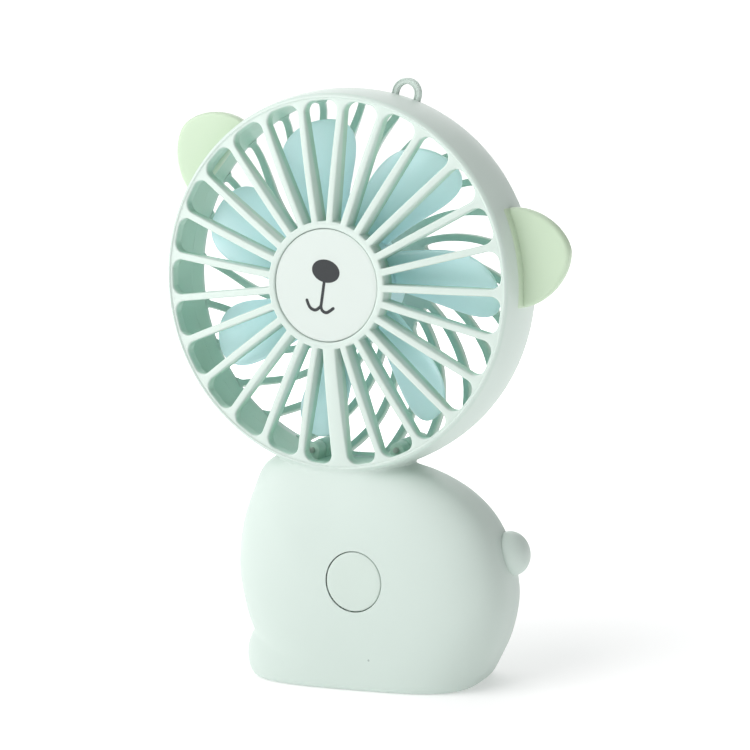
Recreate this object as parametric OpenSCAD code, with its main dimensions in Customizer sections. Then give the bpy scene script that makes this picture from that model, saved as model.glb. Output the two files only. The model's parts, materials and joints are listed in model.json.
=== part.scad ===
// Handheld electric fan shaped like a sitting bear.
// Frame: origin on the base face under the head's centre, X to the bear's back,
// -Y to the front, +Z up. All sizes are in millimetres.

/* [Head] */
// Height of the head's centre above the base
head_z = 109; // [106:0.5:112]
// Largest radius of the head's barrel
barrel_r = 51.7; // [51.4:0.1:52.5]
// Radius of the head's inner wall
bore_r = 49.6; // [49:0.1:49.8]
// Radius of the air window in the front grille
window_r = 48.5; // [47.5:0.1:48.8]
// Number of spokes in the front grille and of ribs in the rear grille
spokes = 25; // [15:1:30]
// Width of a thin spoke
spoke_w = 1.9; // [1.4:0.1:2.4]
// Width of the lowest spoke, which hides the motor leads
wide_spoke_w = 4.2; // [3.6:0.1:5]
// Radius of the slots' outer corners
slot_corner = 2.8; // [1.5:0.1:3]
// Width of a rear rib
rib_w = 2.1; // [1.6:0.1:2.6]
// Swirl of the rear ribs, degrees per millimetre of radius
rib_swirl = 0.93; // [0.3:0.01:1.1]
// Angle of the first rear rib at the rim
rib_start = 1.1; // [0:0.1:14]

/* [Body] */
// Half of the body's depth from front to back
half_depth = 17; // [16:0.5:18]
// Puffiness of the body's rounding: a higher number is boxier
puff = 3.1; // [2.6:0.1:4]
// Position along Y of the seam between the two shells
seam_y = 8; // [7:0.5:9]
// Wall thickness of the body, as a share of its width
wall_share = 0.055; // [0.045:0.005:0.07]

/* [Button] */
// Centre of the power button, X
button_x = 4.9; // [0:0.1:10]
// Centre of the power button, Z
button_z = 30; // [25:0.1:35]
// Radius of the power button
button_r = 7.95; // [7:0.05:8]
// Radial gap round the button
button_gap = 0.22; // [0.15:0.01:0.4]

/* [Fan] */
// Number of blades
blades = 7; // [5:1:9]
// Radius of the blade tips
tip_r = 43.9; // [40:0.1:45]
// Pitch of the blades
blade_pitch = 32; // [20:1:38]
// Angle of the first blade about the motor's axis
blade_start = 46; // [0:1:51]
// Radius of the impeller's hub
hub_r = 15; // [14.8:0.1:15.6]

/* [Motor] */
// Radius of the motor's can
can_r = 12.2; // [12:0.1:12.4]
// Length of the motor's can
can_l = 12.3; // [12:0.1:12.6]
// Radius of the motor shaft
shaft_r = 1; // [0.75:0.05:1.1]

/* [Power] */
// Length of the pouch cell, along X
cell_l = 40; // [30:1:44]
// Height of the pouch cell, along Z
cell_h = 30; // [24:1:32]
// Thickness of the pouch cell
cell_t = 10; // [6:0.5:10]

/* [Hidden] */
$fn = 64;

mint = [0.80, 0.88, 0.84];
ear_green = [0.79, 0.87, 0.75];
sky = [0.70, 0.88, 0.91];
steel = [0.72, 0.73, 0.74];
copper = [0.78, 0.45, 0.25];

pitch_angle = 360 / spokes;
// The barrel's side is one large arc, then a rounded rear corner
barrel_arc = 44;
barrel_mid_y = 1;
corner_y = 6;
corner_r = 12;
lip_y = -10.9;
rear_y = 18;
tongue_y = 1.5;
tongue_r = 50.6;
corner_c = barrel_radius(corner_y) - corner_r;
// Front hub and motor socket
hub_front_y = -13.6;
hub_ring_r = 16.4;
plate_r = 14.95;
plate_t = 1.2;
plate_y = -13.2;
web_y = -11;
can_y = -9.4;
can_back_y = can_y + can_l;
socket_r = 13.8;
socket_y = -4.6;
// Impeller hub, behind the motor socket
cup_y = -3.8;
cup_back_y = 6;
cup_t = 1.3;
boss_y = can_back_y + 0.5;
blade_y = 0.8;
// Body
base_x = 4;
front_cut_y = -16.8;
rear_cut_y = 16.8;
button_front_y = -16.3;
button_t = 3;
pcb_front_y = -9;
pcb_t = 1.2;
led_x = 8.5;
led_z = 9;
socket_z = 28;
cell_x = 4;
cell_z = 24;
cell_y = 1;
ear_back_y = 1.2;
ear_t = 3.7;
ear_u = 50.3;
ear_half = 13;
ear_h = 14.3;
ear_power = 1.75;
ear_span = 29.4;
right_ear_a = 6.2;
left_ear_a = 136.8;
tail_at = [42.5, 4, 35.2];
tail_tilt = 13;
tail_r = 6;
tail_out = 4.9;
screw_seat_y = 10;
body_screw_at = [[-22, 40], [31, 36], [-23, 8], [31, 9]];
pcb_screw_at = [[-22, 18], [12, 41]];
head_screw_a = [255.5, 286.5];
head_screw_r = 47.4;

// Outline of the body at its middle, from the base's back corner over the
// back, under the head, down the chest and round the foot
body_path = [
    [34, 0], [37.2, 5], [41.8, 14.5], [44, 26.5], [40.6, 41.3], [33.4, 50.8], [22.4, 57.2],
    [9, 60.6], [-5, 61.8], [-18, 62.6], [-25.4, 60.2], [-29.6, 53], [-33.4, 43.5],
    [-35.2, 32], [-33.7, 20.5], [-32.1, 15.4], [-31.7, 13.6], [-32.7, 11.8], [-34, 8.4],
    [-34.1, 4], [-32.6, 0]
];

function barrel_radius(y) =
    y <= corner_y
    ? barrel_r - barrel_arc + sqrt(pow(barrel_arc, 2) - pow(y - barrel_mid_y, 2))
    : corner_c + sqrt(pow(corner_r, 2) - pow(y - corner_y, 2));

function ray(a) = [cos(a), sin(a)];
function side(a) = [-sin(a), cos(a)];
function arc(c, r, a, b, n) = [for (i = [0 : n]) c + r * ray(a + (b - a) * i / n)];

function blend_point(a, b, c, d, t) =
    0.5 * (2 * b + (c - a) * t + (2 * a - 5 * b + 4 * c - d) * t * t
           + (3 * b - a - 3 * c + d) * t * t * t);
function smooth_path(p, n) = [
    for (i = [0 : len(p) - 2], j = [0 : n - 1])
        blend_point(p[max(i - 1, 0)], p[i], p[i + 1], p[min(i + 2, len(p) - 1)], j / n),
    p[len(p) - 1]
];

// Turned shape: points are (radius, y) about the head's axis
module turned(points) {
    translate([0, 0, head_z]) rotate([90, 0, 0])
        rotate_extrude($fn = 96) polygon([for (p = points) [p[0], -p[1]]]);
}

// Prism along Y from a flat (x, z) shape, between y_front and y_back
module prism(y_front, y_back) {
    translate([0, y_back, 0]) rotate([90, 0, 0]) linear_extrude(y_back - y_front) children();
}

// Round bar along Y at (x, z)
module pin(x, z, y_front, y_back, r, r_back = -1) {
    translate([x, y_front, z]) rotate([-90, 0, 0])
        cylinder(h = y_back - y_front, r1 = r, r2 = r_back < 0 ? r : r_back);
}

module block(x, y, z) {
    translate([x[0], y[0], z[0]]) cube([x[1] - x[0], y[1] - y[0], z[1] - z[0]]);
}

// ---- Body form ----

function depth_share(y, depth) = pow(1 - pow(min(abs(y) / depth, 1), puff), 1 / puff);

// Puffy slab: the outline shrinks towards the base as it nears each face
module pillow(ys, depth, size, lift, samples) {
    path = smooth_path(body_path, samples);
    n = len(path);
    m = len(ys);
    points = [
        for (y = ys, p = path)
            [base_x + (p[0] - base_x) * size * depth_share(y, depth), y,
             lift + p[1] * size * depth_share(y, depth)]
    ];
    walls = [
        for (k = [0 : m - 2], i = [0 : n - 2], half = [0, 1])
            half == 0 ? [k * n + i, (k + 1) * n + i + 1, (k + 1) * n + i]
                      : [k * n + i, k * n + i + 1, (k + 1) * n + i + 1]
    ];
    bottom = concat([for (k = [0 : m - 1]) k * n], [for (k = [m - 1 : -1 : 0]) k * n + n - 1]);
    front = [for (i = [n - 1 : -1 : 0]) i];
    back = [for (i = [0 : n - 1]) (m - 1) * n + i];
    polyhedron(points, concat(walls, [front, back, bottom]));
}

front_rings = [front_cut_y, -16.4, -15.6, -14.2, -12, -8, -3, 3, seam_y];
rear_rings = [seam_y + 0.15, 10.5, 12.8, 14.6, 15.8, 16.5, rear_cut_y];
cavity_depth = half_depth - 2;

// ---- Ears ----

function ear_outline(n) = [
    for (i = [0 : n])
        let (a = 180 * i / n - 90, s = sin(a), c = cos(a))
            [ear_u + ear_h * pow(max(c, 0), 2 / ear_power),
             sign(s) * ear_half * pow(abs(s), 2 / ear_power)]
];

module ear_pad(grow) {
    translate([0, 0, 0]) rotate([90, 0, 0]) rotate([0, 0, -ear_span / 2 - grow])
        rotate_extrude(angle = ear_span + 2 * grow, $fn = 96)
            polygon([[ear_u, 5.6 + grow], [barrel_r + 1, 5.6 + grow],
                     [barrel_r + 1, -ear_back_y - grow], [ear_u, -ear_back_y - grow]]);
}

// Ear drawn with its root on +X of the head's axis
module ear_shape() {
    union() {
        intersection() {
            ear_pad(0);
            translate([0, 5, 0]) rotate([90, 0, 0]) cylinder(h = 14, r = barrel_r + 0.15, $fn = 96);
        }
        prism(ear_back_y - ear_t, ear_back_y) polygon(concat(
            [[ear_u - 0.6, -ear_half + 0.6]], ear_outline(28), [[ear_u - 0.6, ear_half - 0.6]]));
        block([48.9, ear_u], [ear_back_y - ear_t + 0.1, ear_back_y - 0.1], [-9.9, 9.9]);
    }
}

module on_head(a) {
    translate([0, 0, head_z]) rotate([0, -a, 0]) children();
}

module ear_recess() {
    ear_pad(0.15);
    block([48, ear_u + 0.1], [ear_back_y - ear_t, ear_back_y], [-10, 10]);
}

// ---- Front shell ----

function grille_front(r) = hub_front_y + 3.3 * pow((r - hub_ring_r) / (bore_r - hub_ring_r), 1.6);
function grille_back(r) = -8 + 0.9 * (r - hub_ring_r) / (bore_r - hub_ring_r);

// Slot between two spokes, with rounded corners at the rim
function slot_points(a0, h0, a1, h1, ri, ro, c) = let (
    c0 = sqrt(pow(ro - c, 2) - pow(h0 + c, 2)) * ray(a0) + (h0 + c) * side(a0),
    c1 = sqrt(pow(ro - c, 2) - pow(h1 + c, 2)) * ray(a1) - (h1 + c) * side(a1),
    b0 = a0 + asin((h0 + c) / (ro - c)),
    b1 = a1 - asin((h1 + c) / (ro - c))
) concat(
    [sqrt(ri * ri - h0 * h0) * ray(a0) + h0 * side(a0)],
    arc(c0, c, a0 - 90, b0, 4),
    arc(c1, c, b1, a1 + 90, 4),
    [sqrt(ri * ri - h1 * h1) * ray(a1) - h1 * side(a1)]
);

module front_slots() {
    thin = spoke_w / 2;
    wide = wide_spoke_w / 2;
    for (i = [0 : spokes - 1])
        translate([0, 0, head_z]) prism(-16, -5.5)
            polygon(slot_points(270 + pitch_angle * i, i == 0 ? wide : thin,
                                270 + pitch_angle * (i + 1), i == spokes - 1 ? wide : thin,
                                hub_ring_r + 0.6, window_r, slot_corner));
}

module head_front_form() {
    turned(concat(
        [[window_r + 0.5, lip_y + 0.4], [window_r + 0.9, lip_y], [window_r + 1.4, lip_y + 0.2]],
        [for (y = [-10, -7, -4, -1, 2, 5, seam_y]) [barrel_radius(y), y]],
        [[tongue_r + 0.05, seam_y], [tongue_r + 0.05, tongue_y], [bore_r, tongue_y],
         [bore_r, -7.4], [window_r + 0.5, -7.4]]
    ));
}

module grille_front_form() {
    turned(concat(
        [for (r = [hub_ring_r - 0.9, 22, 28, 34, 40, 45, bore_r + 0.3]) [r, grille_front(max(r, hub_ring_r))]],
        [[bore_r + 0.3, -7.1], [hub_ring_r, -8], [socket_r + 1.6, -7.4], [socket_r, -6.4],
         [socket_r, socket_y], [can_r + 0.05, socket_y], [can_r + 0.05, web_y], [4, web_y],
         [4, plate_y + plate_t], [plate_r + 0.15, plate_y + plate_t], [plate_r + 0.15, hub_front_y]]
    ));
}

module lanyard_loop() {
    translate([0, 0, head_z]) rotate([0, -70.5, 0]) difference() {
        union() {
            block([49.8, 52.3], [5.4, 7.4], [-4.1, 4.1]);
            translate([52.3, 7.4, 0]) rotate([90, 0, 0]) cylinder(h = 2, r = 4.1, $fn = 48);
        }
        translate([52.3, 8, 0]) rotate([90, 0, 0]) cylinder(h = 3.4, r = 2.45, $fn = 48);
        block([40, barrel_r - 1], [5, 8], [-6, 6]);
    }
}

module front_shell() {
    color(mint) difference() {
        union() {
            difference() {
                pillow(front_rings, half_depth, 1, 0, 3);
                pillow([-cavity_depth + 0.3, -14.2, -13, -11, -7, 0, seam_y + 1], cavity_depth,
                       1 - wall_share, 2, 2);
                translate([0, 30, head_z]) rotate([90, 0, 0]) cylinder(h = 50, r = bore_r + 0.6, $fn = 96);
                translate([0, 30, head_z]) rotate([90, 0, 0])
                    cylinder(h = 30 - tongue_y + 0.3, r = tongue_r + 0.3, $fn = 96);
            }
            intersection() {
                for (at = body_screw_at) pin(at[0], at[1], -14, seam_y - 0.1, 3);
                pillow([-15.5, -14.5, -12.5, -9, -4, 2, seam_y + 1], half_depth - 0.8, 0.97, 1, 2);
            }
            for (at = pcb_screw_at) pin(at[0], at[1], -14.4, pcb_front_y, 2.4);
            head_front_form();
            grille_front_form();
            for (a = head_screw_a) head_boss(a);
            lanyard_loop();
        }
        front_slots();
        on_head(right_ear_a) ear_recess();
        on_head(left_ear_a) ear_recess();
        for (at = body_screw_at) pin(at[0], at[1], -3, seam_y + 1, 0.95);
        for (at = pcb_screw_at) pin(at[0], at[1], -13, pcb_front_y + 1, 0.7);
        for (a = head_screw_a) head_hole(a, 0.8);
        pin(button_x, button_z, -20, -8, button_r + button_gap);
        pin(led_x, led_z, -20, -8, 0.45);
        on_tail() {
            translate([0, 0, -8]) cylinder(h = 20, r = 2.5);
            translate([0, 0, -0.7]) cylinder(h = 8, r = tail_r + 0.1);
        }
        block([-45, -28], [-8.1, -4.7], [socket_z - 4.2, socket_z + 4.2]);
        block([-1.4, 1.4], [-9.5, -6.5], [54, head_z - can_r + 0.3]);
    }
}

module head_boss(a) {
    translate([0, 0, head_z]) translate([head_screw_r * cos(a), 0, head_screw_r * sin(a)])
        rotate([0, 270 - a, 0]) {
            translate([0, -3, 0]) rotate([-90, 0, 0]) cylinder(h = tongue_y + 3, r = 2.1);
            translate([-2.1, -3, -3]) cube([4.2, tongue_y + 3, 3]);
        }
}

module head_hole(a, r) {
    pin(head_screw_r * cos(a), head_z + head_screw_r * sin(a), -4, tongue_y + 1, r);
}

// ---- Rear shell ----

function rear_dome(r) = rear_y + 1.6 * (1 - pow(min(r / corner_c, 1), 2));
function rib_angle(r) = rib_start + rib_swirl * (49.4 - r);
function rib_half(r) = rib_w / 2 / r * 57.3 * sqrt(1 + pow(r * rib_swirl * PI / 180, 2));
rib_radii = [50.9, 49.4, 44, 38, 32, 26, 21, 17.5];

module rear_slots() {
    for (i = [0 : spokes - 1])
        translate([0, 0, head_z]) prism(seam_y + 1, 24) polygon(concat(
            [for (r = rib_radii) r * ray(rib_angle(r) + rib_half(r) + pitch_angle * i)],
            [for (k = [len(rib_radii) - 1 : -1 : 0]) let (r = rib_radii[k])
                r * ray(rib_angle(r) - rib_half(r) + pitch_angle * (i + 1))]));
}

module head_rear_form() {
    turned(concat(
        [[tongue_r, tongue_y + 0.05], [tongue_r, seam_y + 0.15]],
        [for (y = [seam_y + 0.15, 10, 12.5, 15, 17]) [barrel_radius(y), y]],
        [for (r = [corner_c, 30, 20, 10]) [r, rear_dome(r)]],
        [[0, rear_dome(0)], [0, rear_dome(0) - 2.6]],
        [for (r = [20, 30, corner_c]) [r, rear_dome(r) - 2.6]],
        [[43.5, 14.6], [46.8, 12.8], [48.9, 10.4], [bore_r, 8], [bore_r, tongue_y + 0.05]]
    ));
}

module rear_shell() {
    color(mint) difference() {
        union() {
            difference() {
                pillow(rear_rings, half_depth, 1, 0, 3);
                pillow([seam_y - 1, 11, 13, 14.2, cavity_depth - 0.3], cavity_depth,
                       1 - wall_share, 2, 2);
                translate([0, 30, head_z]) rotate([90, 0, 0]) cylinder(h = 50, r = bore_r + 0.6, $fn = 96);
            }
            intersection() {
                for (at = body_screw_at) pin(at[0], at[1], seam_y + 0.1, 15, 3.6);
                pillow([seam_y - 1, 11, 13.5, 15, 15.8], half_depth - 0.8, 0.97, 1, 2);
            }
            for (x = [-10, 4, 18]) block([x - 1, x + 1], [cell_y + cell_t + 1.2, 14.6], [12, 34]);
            difference() {
                head_rear_form();
                rear_slots();
            }
            for (a = head_screw_a) rear_lug(a);
        }
        for (at = body_screw_at) {
            pin(at[0], at[1], seam_y - 1, 20, 1.25);
            pin(at[0], at[1], screw_seat_y, 20, 2.4);
        }
        for (a = head_screw_a) head_rear_hole(a);
    }
}

module rear_lug(a) {
    translate([head_screw_r * cos(a), 0, head_z + head_screw_r * sin(a)])
        rotate([0, 270 - a, 0]) {
            translate([0, tongue_y + 0.1, 0]) rotate([-90, 0, 0]) cylinder(h = 13, r = 2.3);
            translate([-2.3, tongue_y + 0.1, -3]) cube([4.6, 9, 3]);
        }
}

module head_rear_hole(a) {
    pin(head_screw_r * cos(a), head_z + head_screw_r * sin(a), tongue_y - 1, 20, 1.05);
    pin(head_screw_r * cos(a), head_z + head_screw_r * sin(a), 8, 20, 2.0);
}

// ---- Trim ----

module face_plate() {
    color([0.93, 0.97, 0.95])
        turned([[0, plate_y], [plate_r - 0.3, plate_y], [plate_r, plate_y + 0.3],
                [plate_r, plate_y + plate_t], [0, plate_y + plate_t]]);
}

module left_ear() {
    color(ear_green) on_head(left_ear_a) ear_shape();
}

module right_ear() {
    color(ear_green) on_head(right_ear_a) ear_shape();
}

module on_tail() {
    translate(tail_at) rotate([0, 90 - tail_tilt, 0]) children();
}

// Squashed ball with a peg
module tail() {
    color(mint) on_tail() rotate_extrude() polygon(concat(
        [[0, -3.6], [2.45, -3.6], [2.45, -0.7], [tail_r - 0.3, -0.7]],
        [for (i = [0 : 12]) [tail_r * cos(90 * i / 12), tail_out * sin(90 * i / 12)]]
    ));
}

// ---- Button and electronics ----

module power_button() {
    color(mint) {
        pin(button_x, button_z, button_front_y, button_front_y + button_t, button_r);
        pin(button_x, button_z, button_front_y + button_t - 1, button_front_y + button_t, button_r + 0.05);
    }
}

module switch_plunger() {
    color([0.15, 0.15, 0.16])
        pin(button_x, button_z, button_front_y + button_t, pcb_front_y - 3.0, 1.7);
}

module tact_switch() {
    color(steel) difference() {
        block([button_x - 3, button_x + 3], [pcb_front_y - 3.5, pcb_front_y], [button_z - 3, button_z + 3]);
        pin(button_x, button_z, pcb_front_y - 4, pcb_front_y - 2.3, 1.8);
    }
}

module main_pcb() {
    color([0.12, 0.42, 0.25]) difference() {
        block([-26, 15], [pcb_front_y, pcb_front_y + pcb_t], [6, 44]);
        for (at = pcb_screw_at) pin(at[0], at[1], pcb_front_y - 1, pcb_front_y + 3, 0.9);
        block([-30, -18.5], [pcb_front_y - 1, pcb_front_y + 3], [0, 11.5]);
        block([-30, -18.5], [pcb_front_y - 1, pcb_front_y + 3], [36.5, 50]);
    }
}

module pcb_chips() {
    color([0.1, 0.1, 0.11]) {
        back = pcb_front_y + pcb_t;
        block([-14, -9], [back, back + 1.5], [26, 30]);
        block([-2, 3], [back, back + 2], [12, 17]);
        block([6, 9], [back, back + 1.2], [30, 34]);
    }
}

module charge_socket() {
    color(steel) difference() {
        block([-33.2, -25], [pcb_front_y + pcb_t, pcb_front_y + pcb_t + 2.7], [socket_z - 3.8, socket_z + 3.8]);
        block([-34, -27], [pcb_front_y + pcb_t + 0.35, pcb_front_y + pcb_t + 2.35], [socket_z - 3.4, socket_z + 3.4]);
    }
    color([0.08, 0.08, 0.08])
        block([-32.4, -26.8], [pcb_front_y + pcb_t + 1.5, pcb_front_y + pcb_t + 2.1], [socket_z - 2.2, socket_z + 2.2]);
}

module status_led() {
    color([0.95, 0.95, 0.85]) {
        block([led_x - 1, led_x + 1], [pcb_front_y - 0.6, pcb_front_y], [led_z - 0.6, led_z + 0.6]);
        pin(led_x, led_z, -16.2, pcb_front_y - 0.6, 0.4);
    }
}

module battery_cell() {
    color([0.75, 0.76, 0.78]) union() {
        block([cell_x - cell_l / 2, cell_x + cell_l / 2], [cell_y, cell_y + cell_t],
              [cell_z - cell_h / 2 + 2, cell_z + cell_h / 2 - 2]);
        block([cell_x - cell_l / 2 + 2, cell_x + cell_l / 2 - 2], [cell_y + 1.5, cell_y + cell_t - 1.5],
              [cell_z - cell_h / 2, cell_z + cell_h / 2]);
    }
}

module battery_pad() {
    color([0.2, 0.2, 0.2])
        block([cell_x - cell_l / 2 + 2, cell_x + cell_l / 2 - 2], [cell_y + cell_t, cell_y + cell_t + 1.2],
              [cell_z - cell_h / 2 + 4, cell_z + cell_h / 2 - 4]);
}

// Insulated wire through a few points
module wire(points, r) {
    for (i = [0 : len(points) - 2])
        let (d = points[i + 1] - points[i], l = norm(d))
            translate(points[i]) rotate([0, acos(d[2] / l), atan2(d[1], d[0])])
                cylinder(h = l, r = r, $fn = 24);
    for (i = [1 : len(points) - 2]) translate(points[i]) sphere(r = r, $fn = 24);
}

module battery_leads() {
    for (i = [0, 1]) color(i == 0 ? "red" : "black")
        wire([[-10 + 3 * i, cell_y + 5, cell_z + cell_h / 2], [-10 + 3 * i, cell_y + 5, 43],
              [-10 + 3 * i, -4, 43], [-10 + 3 * i, -4, 38],
              [-10 + 3 * i, pcb_front_y + pcb_t, 38]], 0.6);
}

module motor_leads() {
    for (i = [0, 1]) let (x = i == 0 ? -0.65 : 0.65) color(i == 0 ? "red" : "black")
        wire([[x, pcb_front_y + pcb_t, 40], [x, -5.6, 40], [x, -5.6, 52], [x, -8.9, 52],
              [x, -8.9, head_z - can_r + 0.1]], 0.45);
}

// ---- Motor ----

module motor_can() {
    color(steel)
        turned([[can_r, can_y + 1], [can_r, can_back_y], [3, can_back_y], [3, can_back_y + 0.4],
                [1.9, can_back_y + 0.4], [1.9, can_back_y - 0.8], [can_r - 0.8, can_back_y - 0.8],
                [can_r - 0.8, can_y + 1]]);
}

module motor_end_cap() {
    color([0.2, 0.22, 0.25])
        turned([[1.9, can_y], [can_r - 0.1, can_y], [can_r - 0.1, can_y + 1], [can_r - 0.85, can_y + 1],
                [can_r - 0.85, can_y + 1.8], [1.9, can_y + 1.8]]);
}

module motor_magnets() {
    color([0.3, 0.3, 0.32]) translate([0, 0, head_z]) rotate([90, 0, 0])
        for (a = [20, 200]) rotate([0, 0, a]) rotate_extrude(angle = 140, $fn = 96)
            polygon([[9.7, -1.4], [can_r - 0.85, -1.4], [can_r - 0.85, 6.6], [9.7, 6.6]]);
}

module motor_bushes() {
    color([0.72, 0.6, 0.35]) {
        turned([[shaft_r + 0.03, can_y], [1.9, can_y], [1.9, can_y + 1.8], [shaft_r + 0.03, can_y + 1.8]]);
        turned([[shaft_r + 0.03, can_back_y - 0.8], [1.9, can_back_y - 0.8], [1.9, can_back_y + 0.4],
                [shaft_r + 0.03, can_back_y + 0.4]]);
    }
}

module motor_brushes() {
    color(copper) for (s = [-1, 1])
        block([s * 2.55 + (s > 0 ? 0 : -0.3), s * 2.55 + (s > 0 ? 0.3 : 0)], [can_y + 1.8, can_y + 4],
              [head_z - 5, head_z + 2]);
}

module motor_shaft() {
    color(steel) turned([[0, can_y + 0.2], [shaft_r, can_y + 0.2], [shaft_r, 8], [shaft_r - 0.2, 8.2], [0, 8.2]]);
}

module motor_core() {
    color([0.5, 0.5, 0.52]) turned([[shaft_r, -4.6], [3.4, -4.6], [3.4, 0.9], [shaft_r, 0.9]]);
    color([0.5, 0.5, 0.52]) translate([0, 0, head_z]) for (i = [0 : 2]) rotate([0, 120 * i, 0]) {
        block([3.3, 8.4], [-4.6, 0.9], [-1.2, 1.2]);
        intersection() {
            block([7.8, 9.4], [-4.6, 0.9], [-6.5, 6.5]);
            translate([0, 2, 0]) rotate([90, 0, 0]) cylinder(h = 8, r = 9.3, $fn = 64);
        }
    }
}

module motor_windings() {
    color(copper) translate([0, 0, head_z]) for (i = [0 : 2]) rotate([0, 120 * i, 0]) difference() {
        block([3.9, 7.7], [-5.2, 1.3], [-2.2, 2.2]);
        block([3, 8.5], [-4.62, 0.92], [-1.22, 1.22]);
    }
}

module commutator() {
    color(copper) turned([[shaft_r, can_y + 2], [2.5, can_y + 2], [2.5, can_y + 4.4], [shaft_r, can_y + 4.4]]);
}

// ---- Impeller ----

// Flat paddle in its own plane: X is outwards, Y across the blade
blade_half = [[14.2, 6.2], [18, 7.2], [24, 8.6], [30, 9.8], [35, 10.4], [38.5, 10.1], [41, 8.6], [42.9, 5.6],
              [tip_r - 0.1, 2.4]];
function blade_sweep(r) = 4.4 * (1 - pow((r - 14) / (tip_r - 14), 2));

module blade() {
    linear_extrude(1.3, center = true) polygon(concat(
        [for (p = blade_half) [p[0], blade_sweep(p[0]) - p[1]]],
        [[tip_r, 0]],
        [for (k = [len(blade_half) - 1 : -1 : 0]) let (p = blade_half[k]) [p[0], blade_sweep(p[0]) + p[1]]]));
}

module impeller() {
    color(sky) {
        difference() {
            turned([[shaft_r, boss_y], [3, boss_y], [3, cup_back_y - 1.5], [hub_r - cup_t, cup_back_y - 1.5],
                    [hub_r - cup_t, cup_y], [hub_r - 0.2, cup_y], [hub_r, cup_back_y - 1],
                    [hub_r - 1, cup_back_y], [3, cup_back_y], [2.6, 8], [shaft_r, 8]]);
        }
        difference() {
            translate([0, blade_y, head_z]) for (i = [0 : blades - 1])
                rotate([0, -(blade_start + 360 / blades * i), 0]) rotate([90 + blade_pitch, 0, 0]) blade();
            translate([0, 20, head_z]) rotate([90, 0, 0]) cylinder(h = 40, r = hub_r - cup_t + 0.4, $fn = 96);
        }
    }
}

// ---- Screws ----

module self_tapper(x, z, head_y, length, r, head_r) {
    difference() {
        union() {
            pin(x, z, head_y - length, head_y, r);
            pin(x, z, head_y, head_y + 1.5, head_r);
        }
        block([x - head_r * 0.7, x + head_r * 0.7], [head_y + 0.7, head_y + 2], [z - 0.25, z + 0.25]);
        block([x - 0.25, x + 0.25], [head_y + 0.7, head_y + 2], [z - head_r * 0.7, z + head_r * 0.7]);
    }
}

module body_screws() {
    color(steel) for (at = body_screw_at) self_tapper(at[0], at[1], screw_seat_y, 10, 0.94, 2.1);
}

module head_screws() {
    color(steel) for (a = head_screw_a)
        self_tapper(head_screw_r * cos(a), head_z + head_screw_r * sin(a), 8, 11.6, 0.79, 1.8);
}

module pcb_screws() {
    color(steel) for (at = pcb_screw_at) self_tapper(at[0], at[1], pcb_front_y + pcb_t, 4.5, 0.69, 1.5);
}

front_shell();
rear_shell();
face_plate();
left_ear();
right_ear();
tail();
power_button();
switch_plunger();
tact_switch();
main_pcb();
pcb_chips();
charge_socket();
status_led();
battery_cell();
battery_pad();
battery_leads();
motor_can();
motor_end_cap();
motor_magnets();
motor_bushes();
motor_brushes();
motor_leads();
motor_shaft();
motor_core();
motor_windings();
commutator();
impeller();
body_screws();
head_screws();
pcb_screws();
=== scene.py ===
"""Looks of the bear-shaped handheld fan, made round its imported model.

Lengths inside the classes are millimetres. The head is turned about an axis
along Y through HEAD_Z, and angles run from +X towards +Z.
"""

import json
import logging
import math
from dataclasses import dataclass, field
from enum import Enum
from typing import Any, Callable, Optional, Sequence

import bmesh
import bpy
import numpy as np
from mathutils import Matrix, Vector

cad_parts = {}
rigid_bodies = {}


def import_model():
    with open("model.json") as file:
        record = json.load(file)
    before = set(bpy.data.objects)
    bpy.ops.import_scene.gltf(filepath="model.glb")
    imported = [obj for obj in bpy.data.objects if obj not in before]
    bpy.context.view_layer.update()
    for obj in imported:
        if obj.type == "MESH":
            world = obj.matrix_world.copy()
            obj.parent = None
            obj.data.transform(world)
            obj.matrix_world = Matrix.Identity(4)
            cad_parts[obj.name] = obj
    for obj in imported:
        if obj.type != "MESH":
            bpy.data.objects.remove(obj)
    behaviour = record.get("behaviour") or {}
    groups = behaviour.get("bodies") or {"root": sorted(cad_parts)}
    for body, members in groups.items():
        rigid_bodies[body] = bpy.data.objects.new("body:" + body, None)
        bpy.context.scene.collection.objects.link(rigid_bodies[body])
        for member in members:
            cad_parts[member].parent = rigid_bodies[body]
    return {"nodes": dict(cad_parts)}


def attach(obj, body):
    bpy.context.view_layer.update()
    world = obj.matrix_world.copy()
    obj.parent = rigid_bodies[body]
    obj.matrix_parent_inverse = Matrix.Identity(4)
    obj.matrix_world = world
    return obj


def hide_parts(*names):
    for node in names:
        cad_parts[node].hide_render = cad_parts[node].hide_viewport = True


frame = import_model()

LOG = logging.getLogger("fan")
MM = 0.001
HEAD_Z = 109.0
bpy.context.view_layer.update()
# Gain (a metre) and shift of the fades from the outer colour to the inner one, a painted shade colour on the walls
# inside the head
WALL_SHADE_FADE = (2500.0, -2.9)
LIP_SHADE_FADE = (900.0, 9.4)

Colour = tuple[float, float, float]
Spot = tuple[float, float, float]


class Part(Enum):
    """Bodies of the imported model."""

    HOUSING = "housing"
    ROTOR = "rotor"
    BUTTON = "button"


class Surface(Enum):
    """Kinds of fine texture that a finish can carry."""

    SATIN = "satin"
    BRUSHED = "brushed"
    CAST = "cast"
    SMOOTH = "smooth"


# ---------------------------------------------------------------- shader maths


def _sum_of(operation: str, swapped: bool = False) -> Callable[["Wire", Any], "Wire"]:
    """Makes the method behind one of a Wire's operators.

    Args:
        operation: name of the Math node's operation.
        swapped: True where the other value comes first.

    Returns:
        A method that adds the Math node and returns the result's Wire.
    """
    def method(self: "Wire", other: Any) -> "Wire":
        """Adds the Math node."""
        pair = {0: other, 1: self} if swapped else {0: self, 1: other}
        return self.board.node("ShaderNodeMath", {"operation": operation}, pair, "Value")

    return method


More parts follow.
